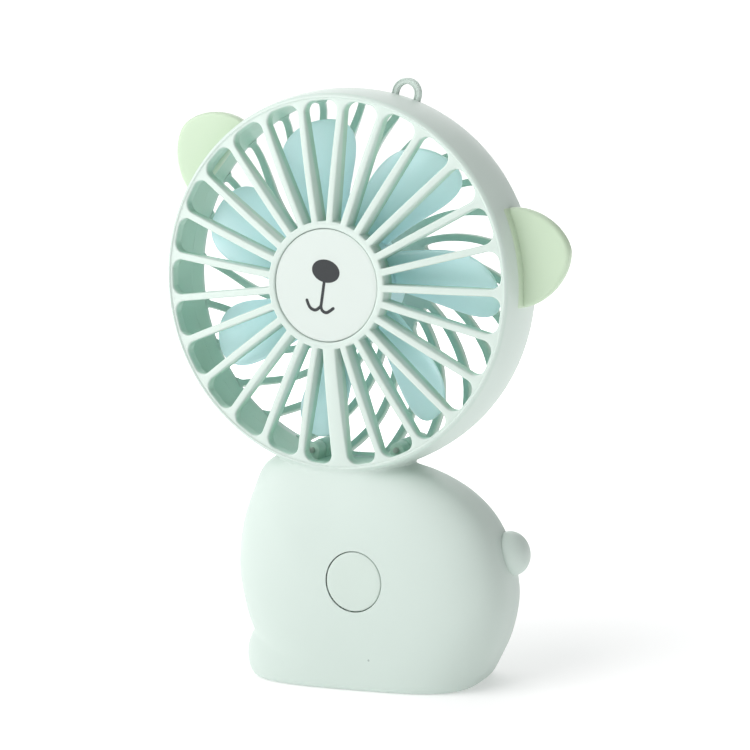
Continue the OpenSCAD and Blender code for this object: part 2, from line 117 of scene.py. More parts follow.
class Wire:
    """A shader socket that takes part in Python sums."""

    def __init__(self, board: "Board", socket: bpy.types.NodeSocket) -> None:
        """Holds the socket and the board that it is on."""
        self.board = board
        self.socket = socket

    __add__, __radd__ = _sum_of("ADD"), _sum_of("ADD", True)
    __sub__, __rsub__ = _sum_of("SUBTRACT"), _sum_of("SUBTRACT", True)
    __mul__, __rmul__ = _sum_of("MULTIPLY"), _sum_of("MULTIPLY", True)
    __truediv__, __rtruediv__ = _sum_of("DIVIDE"), _sum_of("DIVIDE", True)
    __pow__ = _sum_of("POWER")


class Board:
    """Node tree of one material or one geometry group."""

    def __init__(self, tree: bpy.types.NodeTree) -> None:
        """Holds the tree."""
        self.tree = tree

    def node(
        self,
        kind: str,
        settings: Optional[dict[str, Any]] = None,
        values: Optional[dict[Any, Any]] = None,
        out: Any = 0,
    ) -> Wire:
        """Adds any node.

        Args:
            kind: Blender's name for the node type.
            settings: properties, set before the sockets are filled.
            values: numbers, colours or Wires by input name or index.
            out: name or index of the output that is wanted.

        Returns:
            The Wire of that output.
        """
        made = self.tree.nodes.new(kind)
        for name, value in (settings or {}).items():
            if name == "stops":
                ramp = made.color_ramp
                while len(ramp.elements) < len(value):
                    ramp.elements.new(0.5)
                for element, (place, colour) in zip(ramp.elements, value):
                    element.position = place
                    element.color = colour
            else:
                setattr(made, name, value)
        for name, value in (values or {}).items():
            target = made.inputs[name]
            if isinstance(value, Wire):
                self.tree.links.new(value.socket, target)
            else:
                target.default_value = value
        return Wire(self, made.outputs[out])


@dataclass(frozen=True)
class Finish:
    """One finish of the fan, from its colour to its fine texture."""

    name: str
    colour: Colour
    roughness: float = 0.45
    metallic: float = 0.0
    surface: Surface = Surface.SATIN
    grain_mm: float = 0.35
    depth: float = 0.05
    tint: float = 0.04
    coat: float = 0.0
    scatter: float = 0.0
    specular: float = 0.5
    scatter_mm: float = 1.5
    # inner: darker, greener colour painted on the walls inside the head as shade
    inner: Optional[Colour] = None

    def material(self) -> bpy.types.Material:
        """Builds the material once and returns it.

        Returns:
            The material of this finish.
        """
        title = "look_" + self.name
        found = bpy.data.materials.get(title)
        if found:
            return found
        made = bpy.data.materials.new(title)
        made.use_nodes = True
        board = Board(made.node_tree)
        shader = next(n for n in made.node_tree.nodes if n.type == "BSDF_PRINCIPLED")
        place = board.node("ShaderNodeTexCoord", out="Object")
        slow = board.node("ShaderNodeTexNoise", {"noise_dimensions": "3D"},
                          {"Vector": place, "Scale": 38.0, "Detail": 2.0, "Roughness": 0.45}, 0)
        fine = self._grain(board, place)
        low = tuple(c * (1 - self.tint) for c in self.colour) + (1.0,)
        high = tuple(min(1.0, c * (1 + self.tint)) for c in self.colour) + (1.0,)
        shade = board.node("ShaderNodeMix", {"data_type": "RGBA"},
                           {"Factor": slow, 6: low, 7: high}, 2)
        # Painted shade: the walls inside the head fade to the darker inner colour
        if self.inner:
            shade = board.node("ShaderNodeMix", {"data_type": "RGBA"},
                               {"Factor": self._shade_mask(board, place), 6: shade, 7: self.inner + (1.0,)}, 2)
        rough = (slow - 0.5) * 0.10 + (fine - 0.5) * 0.06 + self.roughness
        bump = board.node("ShaderNodeBump", None,
                          {"Strength": self.depth, "Distance": self.grain_mm * 0.3 * MM, "Height": fine},
                          "Normal")
        made.node_tree.links.new(shade.socket, shader.inputs["Base Color"])
        made.node_tree.links.new(rough.socket, shader.inputs["Roughness"])
        made.node_tree.links.new(bump.socket, shader.inputs["Normal"])
        shader.inputs["Metallic"].default_value = self.metallic
        shader.inputs["Coat Weight"].default_value = self.coat
        shader.inputs["Coat Roughness"].default_value = 0.25
        shader.inputs["Specular IOR Level"].default_value = self.specular
        shader.inputs["Subsurface Weight"].default_value = self.scatter
        shader.inputs["Subsurface Radius"].default_value = (1.0, 1.0, 1.0)
        shader.inputs["Subsurface Scale"].default_value = self.scatter_mm * MM
        made.diffuse_color = self.colour + (1.0,)
        return made

    def _shade_mask(self, board: Board, place: Wire) -> Wire:
        """Marks the walls that face into the head, where the inner colour paints shade.

        Args:
            board: board of the material.
            place: object coordinates.

        Returns:
            1 on the inner walls, which take the painted shade, and 0 on the outer ones.
        """
        barrel = Barrel()
        x, y, z = (board.node("ShaderNodeSeparateXYZ", None, {"Vector": place}, i) for i in range(3))
        high = z - HEAD_Z * MM
        out = (x * x + high * high) ** 0.5 - barrel.corner_c * MM
        up = y - barrel.corner_y * MM
        out, up = (board.node("ShaderNodeMath", {"operation": "MAXIMUM"}, {0: v, 1: 0.0}) for v in (out, up))
        depth = barrel.corner_r * MM - (out * out + up * up) ** 0.5
        steps = [board.node("ShaderNodeMath", {"operation": "ADD", "use_clamp": True}, {0: v * gain, 1: shift})
                 for v, (gain, shift) in zip((depth, y), (WALL_SHADE_FADE, LIP_SHADE_FADE))]
        return steps[0] * steps[1]

    def _grain(self, board: Board, place: Wire) -> Wire:
        """Adds the fine texture.

        Args:
            board: board of the material.
            place: object coordinates.

        Returns:
            A value near 0.5 that varies at the grain's own scale.
        """
        scale = 1.0 / (self.grain_mm * MM)
        if self.surface is Surface.BRUSHED:
            stretched = board.node("ShaderNodeMapping", None,
                                   {"Vector": place, "Scale": (1.0, 0.03, 1.0)})
            return board.node("ShaderNodeTexNoise", None,
                              {"Vector": stretched, "Scale": scale, "Detail": 3.0}, 0)
        if self.surface is Surface.CAST:
            cells = board.node("ShaderNodeTexVoronoi", {"feature": "SMOOTH_F1"},
                               {"Vector": place, "Scale": scale}, "Distance")
            return cells * 0.6 + 0.2
        detail = 1.0 if self.surface is Surface.SMOOTH else 4.0
        return board.node("ShaderNodeTexNoise", None,
                          {"Vector": place, "Scale": scale, "Detail": detail, "Roughness": 0.6}, 0)


# MINT's inner colour is painted shade for the walls inside the head
MINT = Finish("mint_shell", (0.62, 0.715, 0.665), 0.42, depth=0.06, tint=0.012, scatter=0.12,
              inner=(0.44, 0.66, 0.54))
# Painted shade: a slightly darker copy of the shell's mint, with a darker inner colour, for the rear ribs, rear
# disc and screw lugs
MINT_SHADED = Finish("mint_rear_shaded", (0.61, 0.71, 0.655), 0.44, depth=0.06, tint=0.015, scatter=0.12,
                   inner=(0.44, 0.625, 0.53))
MINT_BUTTON = Finish("mint_button", (0.61, 0.705, 0.65), 0.38, depth=0.05, tint=0.01, scatter=0.12)
FACE = Finish("face_white", (0.64, 0.705, 0.67), 0.36, depth=0.04, tint=0.008, scatter=0.12)
EAR = Finish("ear_green", (0.55, 0.68, 0.51), 0.40, depth=0.06, tint=0.012, scatter=0.15)
BLADE = Finish("blade_blue", (0.62, 0.91, 0.99), 0.34, depth=0.04, tint=0.01, scatter=0.5,
               scatter_mm=4.0)
INK = Finish("print_black", (0.017, 0.021, 0.024), 0.38, surface=Surface.SMOOTH, depth=0.02, tint=0.1)
PIPE = Finish("led_lens", (0.42, 0.50, 0.47), 0.2, surface=Surface.SMOOTH, depth=0.01, coat=0.4)
STEEL = Finish("steel_plated", (0.58, 0.585, 0.59), 0.30, 1.0, Surface.BRUSHED, 0.25, 0.10, 0.05)
ZINC = Finish("screw_zinc", (0.52, 0.52, 0.50), 0.34, 1.0, Surface.CAST, 0.4, 0.12, 0.06)
COPPER = Finish("copper_wire", (0.60, 0.24, 0.10), 0.34, 1.0, Surface.BRUSHED, 0.2, 0.3, 0.08)
BRONZE = Finish("bush_bronze", (0.48, 0.33, 0.16), 0.42, 1.0, Surface.CAST, 0.2, 0.2, 0.08)
FERRITE = Finish("magnet_ferrite", (0.07, 0.07, 0.075), 0.62, 0.1, Surface.CAST, 0.25, 0.25, 0.1)
IRON = Finish("core_iron", (0.30, 0.30, 0.31), 0.48, 0.9, Surface.BRUSHED, 0.3, 0.3, 0.08)
FOIL = Finish("cell_foil", (0.62, 0.63, 0.65), 0.32, 0.9, Surface.CAST, 1.4, 0.12, 0.05)
FOAM = Finish("pad_foam", (0.035, 0.035, 0.04), 0.9, 0.0, Surface.CAST, 0.5, 0.6, 0.15)
BOARD_GREEN = Finish("board_green", (0.025, 0.18, 0.08), 0.34, 0.0, Surface.BRUSHED, 0.5, 0.1, 0.1, 0.3)
EPOXY = Finish("chip_black", (0.02, 0.02, 0.022), 0.5, 0.0, Surface.SATIN, 0.15, 0.2, 0.1)
NYLON = Finish("nylon_black", (0.035, 0.037, 0.04), 0.5, 0.0, Surface.SATIN, 0.3, 0.1, 0.1)
WIRE_RED = Finish("wire_red", (0.45, 0.04, 0.03), 0.42, 0.0, Surface.SMOOTH, 0.6, 0.08, 0.06)

KEPT: dict[str, Finish] = {
    "switch_plunger": NYLON, "tact_switch": STEEL, "main_pcb": BOARD_GREEN, "pcb_chips": EPOXY,
    "charge_socket": STEEL, "battery_cell": FOIL, "battery_pad": FOAM, "battery_leads": WIRE_RED,
    "motor_can": STEEL, "motor_end_cap": NYLON, "motor_magnets": FERRITE, "motor_bushes": BRONZE,
    "motor_brushes": COPPER, "motor_leads": WIRE_RED, "motor_shaft": STEEL, "motor_core": IRON,
    "motor_windings": COPPER, "commutator": COPPER, "body_screws": ZINC, "head_screws": ZINC,
    "pcb_screws": ZINC,
}

# ---------------------------------------------------------------- mesh making


class Form:
    """Points and faces, in millimetres, before they become a Blender mesh."""

    def __init__(self) -> None:
        """Starts empty."""
        self.points: list[np.ndarray] = []
        self.faces: list[tuple[int, ...]] = []
        self.total = 0

    def add(self, points: np.ndarray, faces: Sequence[Sequence[int]]) -> "Form":
        """Adds points and the faces that join them.

        Args:
            points: an (n, 3) array.
            faces: indices into those points.

        Returns:
            This form.
        """
        self.points.append(np.asarray(points, float).reshape(-1, 3))
        self.faces += [tuple(int(i) + self.total for i in f) for f in faces]
        self.total += len(self.points[-1])
        return self

    def sheet(self, rows: np.ndarray, wrap_rows: bool = False, wrap_columns: bool = False,
              caps: bool = False) -> "Form":
        """Adds a grid of quads.

        Args:
            rows: an (m, n, 3) array.
            wrap_rows: joins the last row to the first.
            wrap_columns: joins the last column to the first.
            caps: closes the first and last row with one face each.

        Returns:
            This form.
        """
        m, n = rows.shape[:2]
        faces: list[tuple[int, ...]] = []
        for i in range(m if wrap_rows else m - 1):
            for j in range(n if wrap_columns else n - 1):
                a, b = i * n, ((i + 1) % m) * n
                k = (j + 1) % n
                faces.append((a + j, a + k, b + k, b + j))
        if caps:
            faces.append(tuple(range(n - 1, -1, -1)))
            faces.append(tuple((m - 1) * n + j for j in range(n)))
        return self.add(rows.reshape(-1, 3), faces)

    def turned(self, profile: Sequence[tuple[float, float]], steps: int = 192,
               closed: bool = True) -> "Form":
        """Adds a shape turned about the Y axis.

        Args:
            profile: (radius, y) points.
            steps: number of steps round the axis.
            closed: True where the profile joins its own start.

        Returns:
            This form.
        """
        p = np.array(profile, float)
        a = np.linspace(0, 2 * math.pi, steps, endpoint=False)
        rows = np.stack([p[:, 0][None] * np.cos(a)[:, None],
                         np.repeat(p[:, 1][None], steps, 0),
                         p[:, 0][None] * np.sin(a)[:, None]], -1)
        return self.sheet(rows, wrap_rows=True, wrap_columns=closed)

    def moved(self, matrix: Matrix) -> "Form":
        """Moves everything in the form by a matrix and returns the form."""
        m = np.array(matrix)
        self.points = [p @ m[:3, :3].T + m[:3, 3] for p in self.points]
        return self

    def mesh(self, name: str, closed: bool = True, sharp: float = 38.0) -> bpy.types.Mesh:
        """Makes a Blender mesh in metres.

        Args:
            name: name of the mesh.
            closed: True where the faces may be turned outwards by Blender.
            sharp: angle in degrees past which an edge is shown sharp.

        Returns:
            The mesh, smooth shaded.
        """
        mesh = bpy.data.meshes.new(name)
        mesh.from_pydata((np.concatenate(self.points) * MM).tolist(), [], self.faces)
        tool = bmesh.new()
        tool.from_mesh(mesh)
        bmesh.ops.remove_doubles(tool, verts=tool.verts, dist=2e-6)
        bmesh.ops.dissolve_degenerate(tool, edges=tool.edges, dist=1e-7)
        if closed:
            bmesh.ops.recalc_face_normals(tool, faces=tool.faces)
            if tool.calc_volume(signed=True) < 0:
                bmesh.ops.reverse_faces(tool, faces=tool.faces)
        tool.to_mesh(mesh)
        tool.free()
        mesh.shade_smooth()
        mesh.set_sharp_from_angle(angle=math.radians(sharp))
        return mesh


def on_head() -> Matrix:
    """Returns the move from the head's own axis to its place."""
    return Matrix.Translation((0, 0, HEAD_Z))


def about_y(angle: float) -> Matrix:
    """Returns a turn that takes +X to an angle measured towards +Z."""
    return Matrix.Rotation(-math.radians(angle), 4, "Y")


def place(name: str, mesh: bpy.types.Mesh, finish: Finish) -> bpy.types.Object:
    """Makes an object of a mesh and gives it its finish.

    Args:
        name: name of the piece.
        mesh: its mesh, already in place.
        finish: its finish.

    Returns:
        The object.
    """
    piece = bpy.data.objects.new(name, mesh)
    bpy.context.scene.collection.objects.link(piece)
    mesh.materials.clear()
    mesh.materials.append(finish.material())
    return piece


def settle(piece: bpy.types.Object, part: Part, slot: str, *nodes: str) -> bpy.types.Object:
    """Ties a finished piece to its body, hides the CAD nodes that it stands for, and reports it.

    Args:
        piece: the finished object.
        part: the body that it moves with.
        slot: material slot of the record; not used.
        nodes: CAD nodes that it stands for.

    Returns:
        The piece.
    """
    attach(piece, part.value)
    if nodes:
        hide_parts(*nodes)
    LOG.info("%s: %d faces", piece.name, len(piece.data.polygons))
    return piece


def baked(piece: bpy.types.Object) -> bpy.types.Object:
    """Applies a piece's modifiers to its mesh.

    Args:
        piece: an object with modifiers.

    Returns:
        The same object with a plain mesh.
    """
    bpy.context.view_layer.update()
    view = bpy.context.evaluated_depsgraph_get()
    mesh = bpy.data.meshes.new_from_object(piece.evaluated_get(view))
    piece.modifiers.clear()
    piece.data = mesh
    return piece


class CopyRound:
    """Geometry Nodes tree that sets copies of a shape round the head's axis."""

    NAME = "copies_round_the_axis"

    def __init__(self) -> None:
        """Builds the tree and remembers its inputs' identifiers."""
        tree = bpy.data.node_groups.new(self.NAME, "GeometryNodeTree")
        self.tree = tree
        self.ids: dict[str, str] = {}
        for name, kind in (("Shape", "NodeSocketGeometry"), ("Count", "NodeSocketInt"),
                           ("Start", "NodeSocketFloat"), ("Pitch", "NodeSocketFloat"),
                           ("Height", "NodeSocketFloat"), ("Merge", "NodeSocketFloat"),
                           ("Finish", "NodeSocketMaterial")):
            self.ids[name] = tree.interface.new_socket(name, in_out="INPUT", socket_type=kind).identifier
        tree.interface.new_socket("Geometry", in_out="OUTPUT", socket_type="NodeSocketGeometry")
        board = Board(tree)
        entry = tree.nodes.new("NodeGroupInput")
        given = {s.name: Wire(board, s) for s in entry.outputs if s.name}
        centre = board.node("ShaderNodeCombineXYZ", None, {"Z": given["Height"]})
        dots = board.node("GeometryNodePoints", None, {"Count": given["Count"], "Position": centre})
        index = board.node("GeometryNodeInputIndex")
        angle = 0.0 - (index * given["Pitch"] + given["Start"])
        turn = board.node("FunctionNodeEulerToRotation", None,
                          {0: board.node("ShaderNodeCombineXYZ", None, {"Y": angle})})
        copies = board.node("GeometryNodeInstanceOnPoints", None,
                            {"Points": dots, "Instance": given["Shape"], "Rotation": turn})
        real = board.node("GeometryNodeRealizeInstances", None, {"Geometry": copies})
        welded = board.node("GeometryNodeMergeByDistance", None,
                            {"Geometry": real, "Distance": given["Merge"]})
        dressed = board.node("GeometryNodeSetMaterial", None,
                             {"Geometry": welded, "Material": given["Finish"]})
        leave = tree.nodes.new("NodeGroupOutput")
        tree.links.new(dressed.socket, leave.inputs[0])

    def make(self, name: str, shape: bpy.types.Mesh, finish: Finish, count: int, start: float,
             pitch: float, merge_mm: float = 0.004) -> bpy.types.Object:
        """Makes one piece out of copies of a shape.

        Args:
            name: name of the piece.
            shape: mesh drawn on +X of the head's axis, about the origin.
            finish: finish of the piece.
            count: number of copies.
            start: angle of the first copy, degrees.
            pitch: angle between copies, degrees.
            merge_mm: distance under which points are joined.

        Returns:
            The piece as a plain mesh object.
        """
        piece = place(name, shape, finish)
        modifier = piece.modifiers.new("copies", "NODES")
        modifier.node_group = self.tree
        for key, value in (("Count", count), ("Start", math.radians(start)),
                           ("Pitch", math.radians(pitch)), ("Height", HEAD_Z * MM),
                           ("Merge", merge_mm * MM), ("Finish", finish.material())):
            modifier[self.ids[key]] = value
        return baked(piece)


# ---------------------------------------------------------------- smooth fields


def soft_min(a: np.ndarray, b: np.ndarray, k: float) -> np.ndarray:
    """Smaller of two distances, with a soft change between them over k."""
    h = np.maximum(k - np.abs(a - b), 0) / k
    return np.minimum(a, b) - h * h * k / 4


def soft_max(a: np.ndarray, b: np.ndarray, k: float) -> np.ndarray:
    """Larger of two distances, with a soft change between them over k."""
    return -soft_min(-a, -b, k)


def smooth_path(points: Sequence[tuple[float, float]], steps: int) -> np.ndarray:
    """Runs a smooth open curve through points.

    Args:
        points: the points.
        steps: pieces between two points.

    Returns:
        An (n, 2) array.
    """
    p = np.array(points, float)
    out = []
    for i in range(len(p) - 1):
        a, b, c, d = p[max(i - 1, 0)], p[i], p[i + 1], p[min(i + 2, len(p) - 1)]
        for t in np.arange(steps) / steps:
            out.append(0.5 * (2 * b + (c - a) * t + (2 * a - 5 * b + 4 * c - d) * t * t
                              + (3 * b - a - 3 * c + d) * t ** 3))
    out.append(p[-1])
    return np.array(out)


Field = Callable[[np.ndarray], np.ndarray]


@dataclass
class Net:
    """Triangles laid on the zero surface of a field."""

    points: np.ndarray
    faces: np.ndarray

    @staticmethod
    def slope(shape: Field, p: np.ndarray, h: float = 0.02) -> np.ndarray:
        """Returns the field's slope at each point."""
        out = np.zeros_like(p)
        for k in range(3):
            step = np.zeros(3)
            step[k] = h
            out[:, k] = (shape(p + step) - shape(p - step)) / (2 * h)
        return out

    @classmethod
    def over(cls, shape: Field, low: Sequence[float], high: Sequence[float], step: float) -> "Net":
        """Lays a net on a field's surface.

        Args:
            shape: the field, below zero inside.
            low: lowest corner of the box.
            high: highest corner of the box.
            step: size of a cell.

        Returns:
            The net, with its points on the surface.
        """
        low_a = np.array(low, float)
        n = np.ceil((np.array(high) - low_a) / step).astype(int) + 1
        axes = [low_a[k] + step * np.arange(n[k]) for k in range(3)]
        grid = np.stack(np.meshgrid(*axes, indexing="ij"), -1).reshape(-1, 3)
        v = np.concatenate([shape(g) for g in np.array_split(grid, 8)]).reshape(n)
        total = np.zeros(tuple(n - 1) + (3,))
        count = np.zeros(tuple(n - 1))
        crossings = []
        for k in range(3):
            near = [slice(None)] * 3
            far = [slice(None)] * 3
            near[k], far[k] = slice(0, -1), slice(1, None)
            a, b = v[tuple(near)], v[tuple(far)]
            hit = np.argwhere((a < 0) != (b < 0))
            va, vb = a[tuple(hit.T)], b[tuple(hit.T)]
            spot = hit.astype(float)
            spot[:, k] += va / (va - vb)
            u, w = [q for q in range(3) if q != k]
            ok = (hit[:, u] > 0) & (hit[:, w] > 0) & (hit[:, u] < n[u] - 1) & (hit[:, w] < n[w] - 1)
            for du in (0, 1):
                for dw in (0, 1):
                    cell = hit.copy()
                    cell[:, u] -= du
                    cell[:, w] -= dw
                    inside = np.all((cell >= 0) & (cell < n - 1), 1)
                    np.add.at(total, tuple(cell[inside].T), spot[inside])
                    np.add.at(count, tuple(cell[inside].T), 1)
            crossings.append((hit[ok], va[ok] < 0, u, w, k))
        used = count > 0
        number = -np.ones(count.shape, int)
        number[used] = np.arange(used.sum())
        points = total[used] / count[used][:, None] * step + low_a
        quads = []
        for hit, rising, u, w, k in crossings:
            corners = []
            for du, dw in ((1, 1), (0, 1), (0, 0), (1, 0)):
                cell = hit.copy()
                cell[:, u] -= du
                cell[:, w] -= dw
                corners.append(number[tuple(cell.T)])
            q = np.stack(corners, 1)
            flip = rising if k != 1 else ~rising
            q[~flip] = q[~flip][:, ::-1]
            quads.append(q)
        quad = np.concatenate(quads)
        net = cls(points, np.concatenate([quad[:, [0, 1, 2]], quad[:, [0, 2, 3]]]))
        net.relax(shape, quad, 3)
        return net

    def relax(self, shape: Field, quads: np.ndarray, rounds: int) -> None:
        """Evens the net out and puts its points back on the surface.

        Args:
            shape: the field.
            quads: the net's four-sided faces.
            rounds: number of rounds.
        """
        pairs = np.concatenate([quads[:, [i, (i + 1) % 4]] for i in range(4)])
        for _ in range(rounds):
            total = np.zeros_like(self.points)
            count = np.zeros(len(self.points))
            for a, b in ((0, 1), (1, 0)):
                np.add.at(total, pairs[:, a], self.points[pairs[:, b]])
                np.add.at(count, pairs[:, a], 1)
            mean = total / np.maximum(count, 1)[:, None]
            self.points = self.points + 0.5 * (mean - self.points)
            for _ in range(2):
                g = self.slope(shape, self.points)
                size = np.maximum((g * g).sum(1), 0.05)
                self.points = self.points - g * (shape(self.points) / size)[:, None]

    def clip(self, level: Field) -> "Net":
        """Cuts the net where a level is zero and keeps the part above zero.

        Args:
            level: value at each point.

        Returns:
            The part that is kept.
        """
        g = level(self.points)
        keep = g > 0
        count = keep[self.faces].sum(1)
        points = [self.points]
        faces = [self.faces[count == 3]]
        base = len(self.points)
        groups = []
        for wanted in (1, 2):
            tri = self.faces[count == wanted]
            if not len(tri):
                continue
            first = (keep[tri] if wanted == 1 else ~keep[tri]).argmax(1)
            rows = np.arange(len(tri))
            tri = np.stack([tri[rows, (first + k) % 3] for k in range(3)], 1)
            groups.append((wanted, [np.sort(tri[:, [0, other]], 1) for other in (1, 2)], tri))
        if groups:
            every = np.concatenate([p for _, pair, _ in groups for p in pair])
            unique, back = np.unique(every, axis=0, return_inverse=True)
            back = back.reshape(-1)
            a, b = self.points[unique[:, 0]], self.points[unique[:, 1]]
            up = keep[unique[:, 0]]
            low = np.zeros(len(unique))
            high = np.ones(len(unique))
            for _ in range(24):
                mid = (low + high) / 2
                above = (level(a + (b - a) * mid[:, None]) > 0) == up
                low = np.where(above, mid, low)
                high = np.where(above, high, mid)
            points.append(a + (b - a) * ((low + high) / 2)[:, None])
            at = 0
            for wanted, pair, tri in groups:
                n = len(tri)
                ab = base + back[at:at + n]
                ac = base + back[at + n:at + 2 * n]
                at += 2 * n
                if wanted == 1:
                    faces.append(np.stack([tri[:, 0], ab, ac], 1))
                else:
                    faces.append(np.stack([ab, tri[:, 1], tri[:, 2]], 1))
                    faces.append(np.stack([ab, tri[:, 2], ac], 1))
        return Net(np.concatenate(points), np.concatenate(faces)).tidy()

    def tidy(self) -> "Net":
        """Drops points that no face uses and returns the net."""
        used, back = np.unique(self.faces, return_inverse=True)
        return Net(self.points[used], back.reshape(-1, 3))

    def hem(self, pick: Field, move: Callable[[np.ndarray, np.ndarray], np.ndarray],
            shape: Field) -> "Net":
        """Adds a narrow strip along part of the net's free edge.

        Args:
            pick: above zero where the strip is wanted.
            move: gives each strip point from an edge point and its normal.
            shape: the field, for the normals.

        Returns:
            The net with its strip.
        """
        edges = np.concatenate([self.faces[:, [0, 1]], self.faces[:, [1, 2]], self.faces[:, [2, 0]]])
        _, first, many = np.unique(np.sort(edges, 1), axis=0, return_index=True, return_counts=True)
        free = edges[first[many == 1]]
        mid = (self.points[free[:, 0]] + self.points[free[:, 1]]) / 2
        free = free[pick(mid) > 0]
        used, back = np.unique(free, return_inverse=True)
        back = back.reshape(-1, 2)
        g = self.slope(shape, self.points[used])
        g /= np.linalg.norm(g, axis=1)[:, None]
        n = len(self.points)
        a, b = free[:, 0], free[:, 1]
        strip = np.concatenate([np.stack([b, a, n + back[:, 0]], 1),
                                np.stack([b, n + back[:, 0], n + back[:, 1]], 1)])
        return Net(np.concatenate([self.points, move(self.points[used], g)]),
                   np.concatenate([self.faces, strip]))


# ---------------------------------------------------------------- case


@dataclass
class Barrel:
    """Outer side of the head: one large arc and a rounded rear corner."""

    arc: float = 43.98
    arc_c: float = 7.7
    mid_y: float = 1.0
    corner_c: float = 38.0
    corner_y: float = 4.47
    corner_r: float = 13.5
    lip_y: float = -10.9
    dome: float = 1.6

    def distance(self, r: np.ndarray, y: np.ndarray) -> np.ndarray:
        """Distance of (r, y) from the head's outer side, below zero inside."""
        side = np.hypot(r - self.arc_c, y - self.mid_y) - self.arc
        corner = np.hypot(np.maximum(r - self.corner_c, 0), y - self.corner_y) - self.corner_r
        corner = np.where(r < self.corner_c, y - self.back(r), corner)
        outer = np.where(y > 6.0, corner, side)
        return soft_max(outer, self.lip_y - y, 1.5)

    def back(self, r: Any) -> Any:
        """Depth of the rear face at a radius."""
        r = np.asarray(r, float)
        share = np.minimum(r, self.corner_c) / self.corner_c
        dome = self.corner_y + self.corner_r + self.dome * (1 - share ** 2)
        fall = self.corner_r ** 2 - np.maximum(r - self.corner_c, 0) ** 2
        edge = self.corner_y + np.sqrt(np.maximum(fall, 0))
        return np.where(r < self.corner_c, dome, edge)

    def side(self, y: float) -> float:
        """Radius of the barrel at a depth ahead of the rear corner."""
        if y > 6.0:
            return self.corner_c + math.sqrt(self.corner_r ** 2 - (y - self.corner_y) ** 2)
        return self.arc_c + math.sqrt(self.arc ** 2 - (y - self.mid_y) ** 2)

    def lip(self) -> list[tuple[float, float]]:
        """Points of the front lip's outer rounding, from the side to the front."""
        out = []
        for t in np.linspace(0, 1, 9):
            r, y = 50.6 - 1.0 * t ** 2, -9.3 - 1.6 * min(1.0, 1.35 * t)
            for _ in range(12):
                d = float(self.distance(np.array(r), np.array(y)))
                gr = float(self.distance(np.array(r + 0.01), np.array(y))) - d
                gy = float(self.distance(np.array(r), np.array(y + 0.01))) - d
                size = (gr * gr + gy * gy) * 1e4
                r -= d * gr * 100 / size
                y -= d * gy * 100 / size
            out.append((r, y))
        return out


